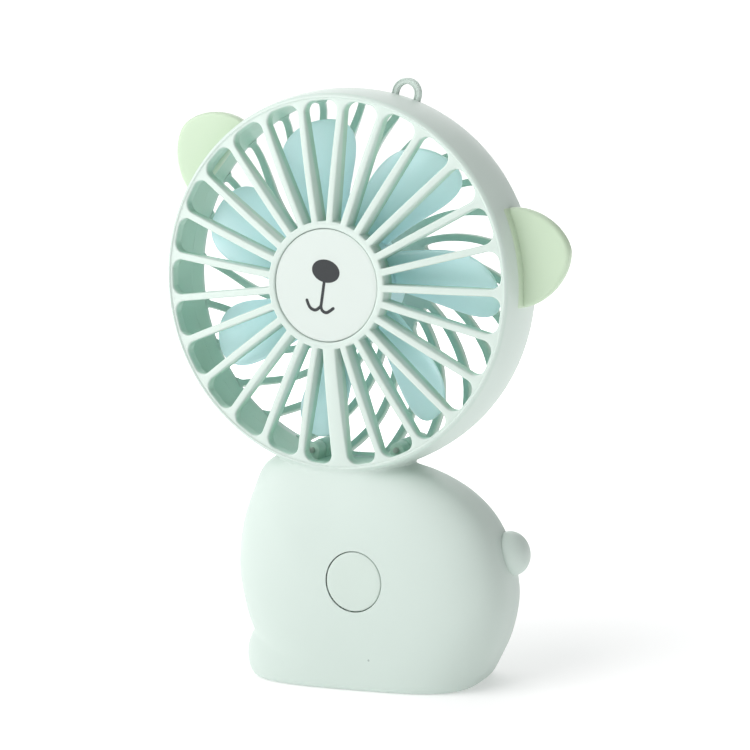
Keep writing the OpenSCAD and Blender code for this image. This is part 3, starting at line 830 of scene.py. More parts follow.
@dataclass
class Case:
    """Both halves of the case: the head's rings and the puffy body."""

    barrel: Barrel = field(default_factory=Barrel)
    depth: float = 16.79
    puff: float = 3.2
    centre_x: float = 4.0
    base_round: float = 2.2
    blend: float = 1.7
    seam_y: float = 8.0
    seam_gap: float = 0.15
    seam_edge: float = 0.07
    wall: float = 1.7
    cell: float = 0.75
    tongue_y: float = 1.5
    rim_y: float = 9.05
    saddle_y: float = 10.9
    lug_r: float = 47.4
    lug_angles: tuple[float, float] = (255.5, 286.5)
    button: tuple[float, float] = (4.9, 30.0)
    button_hole: float = 8.17
    screws: tuple[tuple[float, float], ...] = ((-22, 40), (31, 36), (-23, 8), (31, 9))
    screw_r: float = 2.4
    seat_y: float = 10.0
    port: tuple[float, float, float, float] = (-6.4, 28.0, 1.65, 4.15)
    outline: tuple[tuple[float, float], ...] = (
        (34, 0), (37.2, 5), (41.8, 14.5), (44, 26.5), (40.6, 41.3), (33.4, 50.8), (22.4, 57.2),
        (9, 60.6), (-5, 61.8), (-18, 62.6), (-25.4, 60.2), (-29.6, 53), (-33.4, 43.5),
        (-35.2, 32), (-33.7, 20.5), (-32.1, 15.4), (-31.7, 13.6), (-32.7, 11.8), (-34, 8.4),
        (-34.1, 4), (-32.6, 0))

    def __post_init__(self) -> None:
        """Turns the outline into a radius for each angle."""
        path = smooth_path(self.outline, 16) - (self.centre_x, 0)
        self._angle = np.arctan2(path[:, 1], path[:, 0])
        self._reach = np.hypot(path[:, 0], path[:, 1])
        self._angle[-1] = math.pi

    def share(self, x: np.ndarray, z: np.ndarray) -> np.ndarray:
        """How far out (x, z) lies, from 0 at the centre to 1 on the outline."""
        z = np.abs(z)
        reach = np.interp(np.arctan2(z, x - self.centre_x), self._angle, self._reach)
        return np.hypot(x - self.centre_x, z) / reach

    def front(self, x: np.ndarray, z: np.ndarray) -> np.ndarray:
        """Depth of the body's front face at (x, z)."""
        share = np.minimum(self.share(x, z), 0.999)
        return -self.depth * (1 - share ** self.puff) ** (1 / self.puff)

    def body(self, p: np.ndarray) -> np.ndarray:
        """Distance from the puffy body, below zero inside."""
        def level(q: np.ndarray) -> np.ndarray:
            """Level of the puffy form, zero on its surface."""
            share = self.share(q[:, 0], q[:, 2]) + 1e-6
            return (share ** self.puff + np.abs(q[:, 1] / self.depth) ** self.puff) ** (1 / self.puff) - 1
        value = level(p)
        slope = np.linalg.norm(Net.slope(level, p, 0.05), axis=1)
        puffy = np.clip(value / np.maximum(slope, 0.008), -9, 9)
        return soft_max(puffy, -p[:, 2], self.base_round)

    def head(self, p: np.ndarray) -> np.ndarray:
        """Distance from the head, taken as solid, below zero inside."""
        return self.barrel.distance(np.hypot(p[:, 0], p[:, 2] - HEAD_Z), p[:, 1])

    def whole(self, p: np.ndarray) -> np.ndarray:
        """Distance from the head and body joined by a soft crease."""
        return soft_min(self.body(p), self.head(p), self.blend)

    def skins(self) -> tuple[Net, Net]:
        """Lays the outer skin of the body and parts it at the seam.

        Returns:
            The front skin and the rear skin.
        """
        net = Net.over(self.whole, (-38, -18, -1), (47, 18.5, 74), self.cell)
        net = net.clip(lambda p: self.head(p) - 0.006)
        edge, gap = self.seam_edge, self.seam_gap
        front = net.clip(lambda p: self.seam_y - edge - p[:, 1])
        rear = net.clip(lambda p: p[:, 1] - self.seam_y - gap - edge)
        front = front.hem(lambda p: 0.01 - np.abs(p[:, 1] - self.seam_y + edge),
                          lambda p, n: p - n * edge + (0, edge, 0), self.whole)
        rear = rear.hem(lambda p: 0.01 - np.abs(p[:, 1] - self.seam_y - gap - edge),
                        lambda p, n: p - n * edge - (0, edge, 0), self.whole)
        bx, bz = self.button
        hole = self.button_hole + 0.1

        def from_button(p: np.ndarray) -> np.ndarray:
            """Distance outside the button's hole."""
            return np.where(p[:, 1] < 0, np.hypot(p[:, 0] - bx, p[:, 2] - bz) - hole, 9.0)

        def into_hole(p: np.ndarray, n: np.ndarray) -> np.ndarray:
            """Rounds the hole's edge a little inwards."""
            out = p.copy()
            out[:, 0] = bx + (p[:, 0] - bx) * (hole - 0.1) / hole
            out[:, 2] = bz + (p[:, 2] - bz) * (hole - 0.1) / hole
            out[:, 1] += 0.1
            return out

        front = front.clip(from_button).hem(lambda p: 0.05 - from_button(p), into_hole, self.whole)
        py, pz, ph, pv = self.port

        def from_port(p: np.ndarray) -> np.ndarray:
            """Distance outside the charging opening."""
            qy, qz = np.abs(p[:, 1] - py) - ph + 1.2, np.abs(p[:, 2] - pz) - pv + 1.2
            box = np.hypot(np.maximum(qy, 0), np.maximum(qz, 0)) + np.minimum(np.maximum(qy, qz), 0) - 1.2
            return np.where(p[:, 0] < -20, box, 9.0)

        front = front.clip(from_port)
        for x, z in self.screws:
            rear = self.screw_hole(rear, x, z)
        return front, rear

    def screw_hole(self, net: Net, x: float, z: float) -> Net:
        """Opens the rear skin over one body screw.

        Args:
            net: the rear skin.
            x: place of the screw across the body.
            z: height of the screw.

        Returns:
            The skin with its hole.
        """
        def outside(p: np.ndarray) -> np.ndarray:
            """Distance outside the hole's softened edge."""
            return np.where(p[:, 1] > self.seat_y, np.hypot(p[:, 0] - x, p[:, 2] - z) - self.screw_r - 0.1, 9.0)

        def down(p: np.ndarray, n: np.ndarray) -> np.ndarray:
            """Rounds the edge a little inwards."""
            share = self.screw_r / (self.screw_r + 0.1)
            return np.stack([x + (p[:, 0] - x) * share, p[:, 1] - 0.1, z + (p[:, 2] - z) * share], -1)

        return net.clip(outside).hem(lambda p: 0.05 - outside(p), down, self.whole)

    def wells(self) -> bpy.types.Mesh:
        """Makes the cup that each body screw sits in."""
        form = Form()
        turn = np.linspace(0, 2 * math.pi, 49)[:-1]
        for x, z in self.screws:
            rows = []
            for r, y in ((0.5, self.seat_y), (2.2, self.seat_y), (2.35, self.seat_y + 0.15), (2.35, None),
                         (3.3, None), (3.3, self.seat_y - 1.2)):
                u, v = x + r * np.cos(turn), z + r * np.sin(turn)
                high = -self.front(u, v) - 0.55 if y is None else np.full(len(turn), y)
                rows.append(np.stack([u, high, v], -1))
            form.sheet(np.array(rows), wrap_columns=True, caps=True)
        return form.mesh("screw_wells")

    def skin_piece(self, name: str, net: Net) -> bpy.types.Object:
        """Gives a skin its wall thickness.

        Args:
            name: name of the piece.
            net: the skin.

        Returns:
            The piece.
        """
        mesh = Form().add(net.points, net.faces.tolist()).mesh(name, closed=False)
        piece = place(name, mesh, MINT)
        wall = piece.modifiers.new("wall", "SOLIDIFY")
        wall.thickness = self.wall * MM
        wall.offset = -1.0
        wall.use_rim = True
        return baked(piece)

    def lugs(self) -> bpy.types.Mesh:
        """Makes the two pairs of small posts that the head's screws draw together."""
        form = Form()
        for angle in self.lug_angles:
            for r, y0, y1 in ((2.1, -3.0, self.tongue_y - 0.05), (2.3, self.tongue_y + 0.05, 14.2)):
                loops = []
                for y, inset in ((y0, 0.3), (y0 + 0.1, 0.1), (y0 + 0.3, 0.0),
                                 (y1 - 0.3, 0.0), (y1 - 0.1, 0.1), (y1, 0.3)):
                    q = np.linspace(math.pi / 2, 3 * math.pi / 2, 19)
                    u = np.concatenate([self.lug_r + (r - inset) * np.cos(q), [49.9, 49.9]])
                    v = np.concatenate([(r - inset) * np.sin(q), [-(r - inset), r - inset]])
                    loops.append(np.stack([u, np.full(len(u), y), v], -1))
                turn = Form().sheet(np.array(loops), wrap_columns=True, caps=True).moved(about_y(angle))
                form.add(turn.points[0], turn.faces)
        return form.moved(on_head()).mesh("screw_lugs")

    def rings(self) -> tuple[Form, Form]:
        """Draws the head's two rings.

        Returns:
            The front ring and the rear ring, about the head's axis.
        """
        b, s, g, e = self.barrel, self.seam_y, self.seam_gap, self.seam_edge
        outer = [(b.side(y), y) for y in np.linspace(s - e, -9.2, 14)]
        front = ([(b.side(s) - e, s)] + outer + b.lip()
                 + [(49.36, -10.70), (49.18, -10.55), (49.0, -10.38), (49.0, -7.9), (49.15, -7.55),
                    (49.6, -7.3),
                    (49.6, 1.9), (50.65, 1.9), (50.65, s)])
        back = [(b.side(s + g) - e, s + g)]
        back += [(b.side(y), y) for y in np.linspace(s + g + e, self.rim_y - 0.15, 4)]
        back += [(b.side(self.rim_y) - 0.12, self.rim_y), (49.75, self.rim_y), (49.6, self.rim_y - 0.15),
                 (49.6, 1.95), (50.6, 1.95), (50.6, s + g)]
        return Form().turned(front, 256), Form().turned(back, 256)

    def saddle(self) -> bpy.types.Mesh:
        """Makes the short piece of rear rim that closes the body under the head."""
        b = self.barrel
        outer = [(b.side(y), y) for y in np.linspace(self.rim_y - 0.3, self.saddle_y, 6)]
        loop = np.array(outer + [(49.7, self.saddle_y), (49.7, self.rim_y - 0.3)])
        rows = [np.stack([loop[:, 0] * math.cos(a), loop[:, 1], loop[:, 0] * math.sin(a)], -1)
                for a in np.radians(np.linspace(234, 306, 60))]
        return Form().sheet(np.array(rows), wrap_columns=True, caps=True).moved(on_head()).mesh("rear_saddle")

    def build(self) -> None:
        """Builds both halves of the case."""
        settle(place("rear_saddle", self.saddle(), MINT), Part.HOUSING, "shell_mint", "rear_shell")
        front, rear = self.skins()
        settle(self.skin_piece("front_body_skin", front), Part.HOUSING, "shell_mint", "front_shell")
        settle(self.skin_piece("rear_body_skin", rear), Part.HOUSING, "shell_mint", "rear_shell")
        settle(place("screw_lugs", self.lugs(), MINT_SHADED), Part.HOUSING, "shell_mint", "rear_shell")
        settle(place("screw_wells", self.wells(), MINT), Part.HOUSING, "shell_mint", "rear_shell")
        ring, back = self.rings()
        settle(place("front_ring", ring.moved(on_head()).mesh("front_ring"), MINT),
               Part.HOUSING, "shell_mint", "front_shell")
        settle(place("rear_ring", back.moved(on_head()).mesh("rear_ring"), MINT),
               Part.HOUSING, "shell_mint", "rear_shell")


@dataclass
class FrontGrille:
    """Hub ring and 25 spokes of the front, one of them wide."""

    spokes: int = 25
    thin: float = 0.95
    wide_hub: float = 1.8
    wide_rim: float = 2.3
    slot_in: float = 17.0
    slot_out: float = 48.5
    hub_corner: float = 0.3
    rim_corner: float = 2.8
    edge: float = 0.42
    inner: float = 16.4
    outer: float = 49.05
    reach: float = 33.2
    front_y: float = -13.6
    front_fall: float = 3.3
    front_power: float = 1.6
    back_y: float = -8.0
    back_fall: float = 0.9

    def front(self, r: np.ndarray) -> np.ndarray:
        """Depth of the grille's front at a radius."""
        t = np.clip((r - self.inner) / self.reach, 0, 1)
        return self.front_y + self.front_fall * t ** self.front_power

    def back(self, r: np.ndarray) -> np.ndarray:
        """Depth of the grille's back at a radius."""
        return self.back_y + self.back_fall * np.clip((r - self.inner) / self.reach, 0, 1)

    def half(self, wide: bool) -> tuple[np.ndarray, np.ndarray, np.ndarray]:
        """Draws one side of a slot-to-slot cell.

        Args:
            wide: True for the wide spoke.

        Returns:
            Edge points, the way into the material at each, and the points on the
            cell's middle line that they are joined to.
        """
        end = math.pi / self.spokes
        h0, h1 = (self.wide_hub, self.wide_rim) if wide else (self.thin, self.thin)
        edge: list[tuple[float, float]] = []
        inward: list[tuple[float, float]] = []
        spine: list[tuple[float, float]] = []

        def put(p: tuple[float, float], n: tuple[float, float], s: tuple[float, float]) -> None:
            """Adds one point of the edge."""
            edge.append(p)
            inward.append(n)
            spine.append(s)

        c = self.hub_corner
        a = math.asin((h0 + c) / (self.slot_in + c))
        for t in np.linspace(end, a, 3):
            ray = (math.cos(t), math.sin(t))
            put((self.slot_in * ray[0], self.slot_in * ray[1]), (-ray[0], -ray[1]),
                (self.inner * ray[0], self.inner * ray[1]))
        cx, cy = (self.slot_in + c) * math.cos(a), h0 + c
        for i in range(1, 4):
            turn = math.pi + a + (math.pi / 2 - a) * i / 4
            d = (math.cos(turn), math.sin(turn))
            q = a * (1 - i / 3)
            put((cx + c * d[0], cy + c * d[1]), d, (self.inner * math.cos(q), self.inner * math.sin(q)))
        k = self.rim_corner
        b = math.asin((h1 + k) / (self.slot_out - k))
        ex, ey = (self.slot_out - k) * math.cos(b), h1 + k
        lean = math.atan2(h1 - h0, ex - cx)
        for t in np.linspace(0, 1, 26):
            put((cx + (ex - cx) * t, h0 + (h1 - h0) * t), (math.sin(lean), -math.cos(lean)),
                (cx + (ex - cx) * t, 0.0))
        steps = 10
        for i in range(1, steps):
            turn = -math.pi / 2 + (math.pi / 2 + b) * i / steps
            d = (math.cos(turn), math.sin(turn))
            t = i / steps
            if t < 0.6:
                s = (ex + (self.outer - ex) * t / 0.6, 0.0)
            else:
                q = b * (t - 0.6) / 0.4
                s = (self.outer * math.cos(q), self.outer * math.sin(q))
            put((ex + k * d[0], ey + k * d[1]), d, s)
        for t in np.linspace(b, end, 4):
            ray = (math.cos(t), math.sin(t))
            put((self.slot_out * ray[0], self.slot_out * ray[1]), ray,
                (self.outer * ray[0], self.outer * ray[1]))
        return np.array(edge), np.array(inward), np.array(spine)

    def cell(self, wide: bool) -> bpy.types.Mesh:
        """Makes the mesh of one cell: a spoke and half of each slot's rim.

        Args:
            wide: True for the wide spoke.

        Returns:
            The mesh, on +X, about the origin.
        """
        edge, inward, spine = self.half(wide)
        f = self.edge
        form = Form()
        for sign in (1, -1):
            rows = []

            def row(flat: np.ndarray, face: Callable[[np.ndarray], np.ndarray], rise: float) -> None:
                """Adds one line of points at a rise over a face."""
                y = face(np.hypot(flat[:, 0], flat[:, 1])) + rise
                rows.append(np.stack([flat[:, 0], y, flat[:, 1] * sign], -1))

            row(spine, self.back, 0.0)
            row(edge + inward * 0.3, self.back, 0.0)
            row(edge + inward * 0.08, self.back, -0.09)
            row(edge, self.back, -0.3)
            row(edge, self.front, f)
            for turn in (30, 60):
                t = math.radians(turn)
                row(edge + inward * f * (1 - math.cos(t)), self.front, f * (1 - math.sin(t)))
            row(edge + inward * f, self.front, 0.0)
            row(spine, self.front, 0.0)
            form.sheet(np.array(rows)[::sign])
        return form.mesh("spoke_cell", closed=False, sharp=50)

    def hub(self) -> bpy.types.Mesh:
        """Makes the ring and motor socket behind the face plate."""
        profile = [(16.5, -13.585), (15.55, -13.6), (15.3, -13.52), (15.14, -13.3), (15.12, -12.0),
                   (4.0, -12.0), (4.0, -11.0), (12.25, -11.0), (12.25, -4.7), (12.4, -4.6), (13.6, -4.6),
                   (13.8, -4.8), (13.8, -6.4), (15.4, -7.6), (16.5, -8.0)]
        return Form().turned(profile, 192).moved(on_head()).mesh("front_hub")

    def build(self, copies: CopyRound) -> None:
        """Builds the grille."""
        pitch = 360 / self.spokes
        thin = copies.make("front_spokes", self.cell(False), MINT, self.spokes - 1, 270 + pitch, pitch)
        settle(thin, Part.HOUSING, "shell_mint", "front_shell")
        wide = copies.make("front_wide_spoke", self.cell(True), MINT, 1, 270, pitch)
        settle(wide, Part.HOUSING, "shell_mint", "front_shell")
        settle(place("front_hub", self.hub(), MINT), Part.HOUSING, "shell_mint", "front_shell")


@dataclass
class RearGrille:
    """Swirling ribs and the hub disc of the back."""

    barrel: Barrel = field(default_factory=Barrel)
    ribs: int = 25
    half: float = 1.02
    deep: float = 2.6
    swirl: float = 0.93
    start: float = 1.1
    hub: float = 17.6
    rim_y: float = 9.05

    def rib(self) -> bpy.types.Mesh:
        """Makes one rib on its swirl, flared at both ends."""
        b = self.barrel
        turn = np.radians(np.linspace(90, 17.5, 26)[1:])
        flat = np.concatenate([np.linspace(self.hub - 0.9, self.hub + 1.8, 8),
                               np.linspace(self.hub + 2.6, b.corner_c, 14)])
        r = np.concatenate([flat, b.corner_c + b.corner_r * np.cos(turn)])
        y = np.concatenate([b.back(flat), b.corner_y + b.corner_r * np.sin(turn)])
        a = np.radians(self.start + self.swirl * (49.5 - r))
        path = np.stack([r * np.cos(a), y, r * np.sin(a)], -1)
        along = np.gradient(path, axis=0)
        along /= np.linalg.norm(along, axis=1)[:, None]
        ray = np.stack([np.cos(a), 0 * a, np.sin(a)], -1)
        rise = np.stack([np.gradient(r), np.gradient(y)], -1)
        out = ray * -rise[:, 1:] + np.array([0, 1, 0]) * rise[:, :1]
        out /= np.linalg.norm(out, axis=1)[:, None]
        wide = np.cross(along, out)
        wide /= np.linalg.norm(wide, axis=1)[:, None]
        near = np.clip((self.hub + 1.7 - r) / 1.7, 0, 1)
        far = np.clip((self.rim_y + 1.5 - y) / 1.5, 0, 1)
        deep = np.where(r > b.corner_c, self.deep - 1.2 * ((r - b.corner_c) / b.corner_r) ** 2, self.deep)
        half = self.half + 1.1 * (1 - np.sqrt(1 - near ** 2 * 0.97)) + 1.3 * (1 - np.sqrt(1 - far ** 2 * 0.97))
        f = 0.34
        shape = [(-1, f, 0.0, 0.0), (-1, 0.1, 0.1, 0.0), (-1, 0.0, f, 0.0), (-0.93, 0.0, -0.25, 1.0),
                 (-0.93, 0.08, -0.07, 1.0), (-0.93, 0.25, 0.0, 1.0)]
        rows = []
        for side, inset, d, share in shape + [(-s, -i, d, q) for s, i, d, q in shape[::-1]]:
            rows.append(path + wide * (half * side + inset)[:, None] - out * (d + share * deep)[:, None])
        loops = np.array(rows).transpose(1, 0, 2)
        return Form().sheet(loops, wrap_columns=True, caps=True).mesh("rear_rib", sharp=50)

    def disc(self) -> bpy.types.Mesh:
        """Makes the plain disc in the middle of the back."""
        b = self.barrel
        top = [(r, float(b.back(r))) for r in (0, 4, 8, 12, 15, 16.8, 17.3)]
        under = [(r, float(b.back(r)) - self.deep) for r in (17.2, 15, 12, 8, 4, 0)]
        profile = top + [(17.55, float(b.back(17.5)) - 0.12), (17.65, float(b.back(17.6)) - 0.4),
                         (17.6, float(b.back(17.6)) - self.deep + 0.4)] + under
        return Form().turned(profile, 160, closed=False).moved(on_head()).mesh("rear_disc")

    def build(self, copies: CopyRound) -> None:
        """Builds the back of the head."""
        ribs = copies.make("rear_ribs", self.rib(), MINT_SHADED, self.ribs, 0.0, 360 / self.ribs)
        settle(ribs, Part.HOUSING, "shell_mint", "rear_shell")
        settle(place("rear_disc", self.disc(), MINT_SHADED), Part.HOUSING, "shell_mint", "rear_shell")


@dataclass
class Impeller:
    """Seven pitched paddles on a cup-shaped hub."""

    blades: int = 7
    first: float = 46.0
    pitch: float = 32.0
    root: float = 14.2
    tip: float = 43.9
    mid_y: float = 0.8
    thick: float = 1.25
    camber: float = 0.9
    root_half: float = 6.2
    widening: float = 0.235
    rounding: float = 27
    tip_powers: tuple[float, float] = (2.6, 1 / 2.2)
    sweep: float = 4.4

    def half(self, r: np.ndarray) -> np.ndarray:
        """Half of the blade's width at a radius."""
        s = np.clip((r - self.rounding) / (self.tip - self.rounding), 0, 1)
        inner, outer = self.tip_powers
        return (self.root_half + self.widening * (r - self.root)) * (1 - s ** inner) ** outer

    def blade(self) -> bpy.types.Mesh:
        """Makes one blade on +X of the axis."""
        r = self.root - 0.6 + (self.tip - self.root + 0.59) * np.sin(np.linspace(0, math.pi / 2, 34))
        half = np.maximum(self.half(r), 0.12)
        sweep = self.sweep * (1 - ((r - 14) / (self.tip - 14)) ** 2)
        thick = self.thick * (1 - 0.45 * (r - self.root) / (self.tip - self.root)) / 2
        thick = np.minimum(thick, half)
        across = np.linspace(-1, 1, 15)
        loops = []
        for i in range(len(r)):
            t, h = thick[i], half[i]
            flat = max(h - t, 0.01)
            face = [(flat * a, t) for a in across]
            bend = [(t * math.sin(q), t * math.cos(q)) for q in np.radians([30, 60, 90, 120, 150])]
            right = [(flat + u, v) for u, v in bend]
            under = [(flat * a, -t) for a in across[::-1]]
            left = [(-flat - u, -v) for u, v in bend]
            loop = np.array(face + right + under + left)
            v = loop[:, 0] + sweep[i]
            n = loop[:, 1] + self.camber * (h / 10) * (1 - (loop[:, 0] / h) ** 2)
            loops.append(np.stack([np.full(len(v), r[i]), v, n], -1))
        rows = np.array(loops)
        turn = Matrix.Rotation(math.radians(90 + self.pitch), 4, "X")
        form = Form().sheet(rows, wrap_columns=True, caps=True).moved(turn)
        return form.moved(Matrix.Translation((0, self.mid_y, 0))).mesh("blade", sharp=60)

    def hub(self) -> bpy.types.Mesh:
        """Makes the hub cup, which covers the motor's back."""
        profile = [(1.0, 3.45), (3.0, 3.45), (3.0, 4.5), (13.7, 4.5), (13.7, -3.6), (13.9, -3.8), (14.6, -3.8),
                   (14.8, -3.6), (15.0, 4.8), (14.9, 5.4), (14.55, 5.82), (14.0, 6.0), (9.0, 6.1), (4.0, 6.15),
                   (3.2, 6.3), (1.0, 6.3)]
        return Form().turned(profile, 128).moved(on_head()).mesh("impeller_hub")

    def build(self, copies: CopyRound) -> None:
        """Builds the impeller."""
        blades = copies.make("impeller_blades", self.blade(), BLADE, self.blades, self.first, 360 / self.blades)
        settle(blades, Part.ROTOR, "blade_blue", "impeller")
        settle(place("impeller_hub", self.hub(), BLADE), Part.ROTOR, "blade_blue", "impeller")


@dataclass
class Face:
    """Disc in the middle of the grille, with its printed nose and mouth."""

    radius: float = 14.95
    front: float = -13.2
    ink: float = 0.03
    nose: tuple[float, float] = (0.3, 3.8)
    nose_size: tuple[float, float] = (4.1, 3.02)
    nose_roll: float = -15.5
    stroke: float = 0.42

    def plate(self) -> bpy.types.Mesh:
        """Makes the disc with a softly rounded edge."""
        r, y = self.radius, self.front
        profile = [(0, y), (4, y), (9, y), (13.5, y), (r - 0.35, y), (r - 0.14, y + 0.06), (r - 0.03, y + 0.18),
                   (r, y + 0.4), (r, y + 1.15), (0, y + 1.15)]
        return Form().turned(profile, 192, closed=False).moved(on_head()).mesh("face_disc")

    def stamp(self, form: Form, outline: np.ndarray, rise: float) -> None:
        """Adds a thin printed shape to a form.

        Args:
            form: the form.
            outline: closed (x, z) outline.
            rise: height over the disc.
        """
        front = np.stack([outline[:, 0], np.full(len(outline), self.front - rise), outline[:, 1]], -1)
        back = front + (0, rise + 0.05, 0)
        form.sheet(np.stack([front, back]), wrap_columns=True, caps=True)

    def line(self, form: Form, points: Sequence[tuple[float, float]], rise: float) -> None:
        """Adds a printed line with round ends through points."""
        path = smooth_path(points, 8)
        way = np.gradient(path, axis=0)
        way /= np.linalg.norm(way, axis=1)[:, None]
        side = np.stack([-way[:, 1], way[:, 0]], -1) * self.stroke
        head = math.atan2(way[-1, 1], way[-1, 0])
        tail = math.atan2(way[0, 1], way[0, 0])
        fan = np.radians([-60, -30, 0, 30, 60])
        end = [path[-1] + self.stroke * np.array([math.cos(head - q), math.sin(head - q)]) for q in fan]
        start = [path[0] - self.stroke * np.array([math.cos(tail - q), math.sin(tail - q)]) for q in fan]
        outline = np.concatenate([path + side, np.array(end), (path - side)[::-1], np.array(start)])
        self.stamp(form, outline, rise)

    def build(self) -> None:
        """Builds the disc and the print."""
        settle(place("face_disc", self.plate(), FACE), Part.HOUSING, "face_white", "face_plate")
        form = Form()
        t = np.linspace(0, 2 * math.pi, 72, endpoint=False)
        roll = math.radians(self.nose_roll)
        u, v = self.nose_size[0] * np.cos(t), self.nose_size[1] * np.sin(t)
        nose = np.stack([u * math.cos(roll) - v * math.sin(roll), u * math.sin(roll) + v * math.cos(roll)], -1)
        self.stamp(form, nose + self.nose, self.ink)
        self.line(form, [(-0.3, 1.2), (-1.0, -2.2), (-1.73, -5.6)], self.ink + 0.004)
        self.line(form, [(-5.76, -3.74), (-4.95, -5.7), (-3.37, -6.44), (-1.73, -5.5)], self.ink + 0.002)
        self.line(form, [(-1.73, -5.5), (-1.3, -6.7), (0.0, -7.16), (1.9, -6.12)], self.ink + 0.006)
        print_piece = place("face_print", form.moved(on_head()).mesh("face_print"), INK)
        settle(print_piece, Part.HOUSING, "print_black")


@dataclass
class Ears:
    """Two plate-like ears, each on a curved pad let into the ring."""

    right: float = 6.2
    left: float = 136.8
    half: float = 13.0
    height: float = 14.28
    root: float = 50.3
    power: float = 1.75
    front: float = -2.5
    back: float = 1.2
    round: float = 1.15
    span: float = 14.7
    crown: float = 0.1
    pad_mid: float = -2.2
    pad_half: float = 3.4
    pad_edge: float = 0.5
    pad_rise: float = 0.16

    def plate(self, form: Form) -> None:
        """Adds the ear's plate, with rounded edges and slightly crowned faces."""
        a = np.radians(np.linspace(-90, 90, 65))
        c, s = np.maximum(np.cos(a), 0), np.sin(a)
        rim = np.stack([self.root + self.height * c ** (2 / self.power),
                        np.sign(s) * self.half * np.abs(s) ** (2 / self.power)], -1)
        low = np.array([[49.4, self.half - 0.7], [49.2, 6.0], [49.1, 0.0], [49.2, -6.0],
                        [49.4, -self.half + 0.7]])
        rim = np.concatenate([rim, low])
        centre = np.array([53.6, 0.0])
        rows = []
        for y, way in ((self.front, 1.0), (self.back, -1.0)):
            part = []
            for share, rise in ((0.02, -0.10), (0.35, -0.07), (0.62, -0.02)):
                part.append((centre + (rim - centre) * share, y + rise * way + self.crown * way))
            for turn in (90, 67.5, 45, 22.5, 0):
                t = math.radians(turn)
                size = np.linalg.norm(rim - centre, axis=1)[:, None]
                inset = self.round * (1 - math.cos(t))
                part.append((centre + (rim - centre) * (1 - inset / size),
                             y + way * self.round * (1 - math.sin(t)) + self.crown * way))
            rows += part if way > 0 else part[::-1]
        loops = np.stack([np.stack([p[:, 0], np.full(len(p), y), p[:, 1]], -1) for p, y in rows])
        form.sheet(loops, wrap_columns=True, caps=True)

    def pad(self, form: Form) -> None:
        """Adds the curved pad at the ear's root."""
        barrel = Barrel()
        span = math.radians(self.span)
        loops = []
        start = [(0.55, -1.0), (0.82, -0.992), (0.96, -0.978), (1, -0.955)]
        ends = [(share, -angle) for share, angle in start[::-1]]
        for share, angle in start + [(1, t) for t in np.linspace(-0.9, 0.9, 25)] + ends:
            top = []
            for y in np.linspace(-self.pad_half, self.pad_half, 9):
                e = max(0.0, abs(y) - (self.pad_half - self.pad_edge))
                drop = self.pad_edge - math.sqrt(max(self.pad_edge ** 2 - e * e, 0))
                at = self.pad_mid + y * share
                top.append((barrel.side(at) + self.pad_rise - drop - 0.8 * (1 - share), at))
            low, high = (self.pad_mid + way * self.pad_half * share for way in (-1, 1))
            loop = [(50.1, low)] + top + [(50.1, high)]
            q = angle * span
            loops.append([(r * math.cos(q), y, r * math.sin(q)) for r, y in loop])
        form.sheet(np.array(loops), wrap_columns=True, caps=True)

    def build(self) -> None:
        """Builds both ears."""
        for name, angle in (("left_ear", self.left), ("right_ear", self.right)):
            form = Form()
            self.plate(form)
            self.pad(form)
            mesh = form.moved(on_head() @ about_y(angle)).mesh(name + "_look", sharp=48)
            settle(place(name + "_look", mesh, EAR), Part.HOUSING, "ear_green", name)


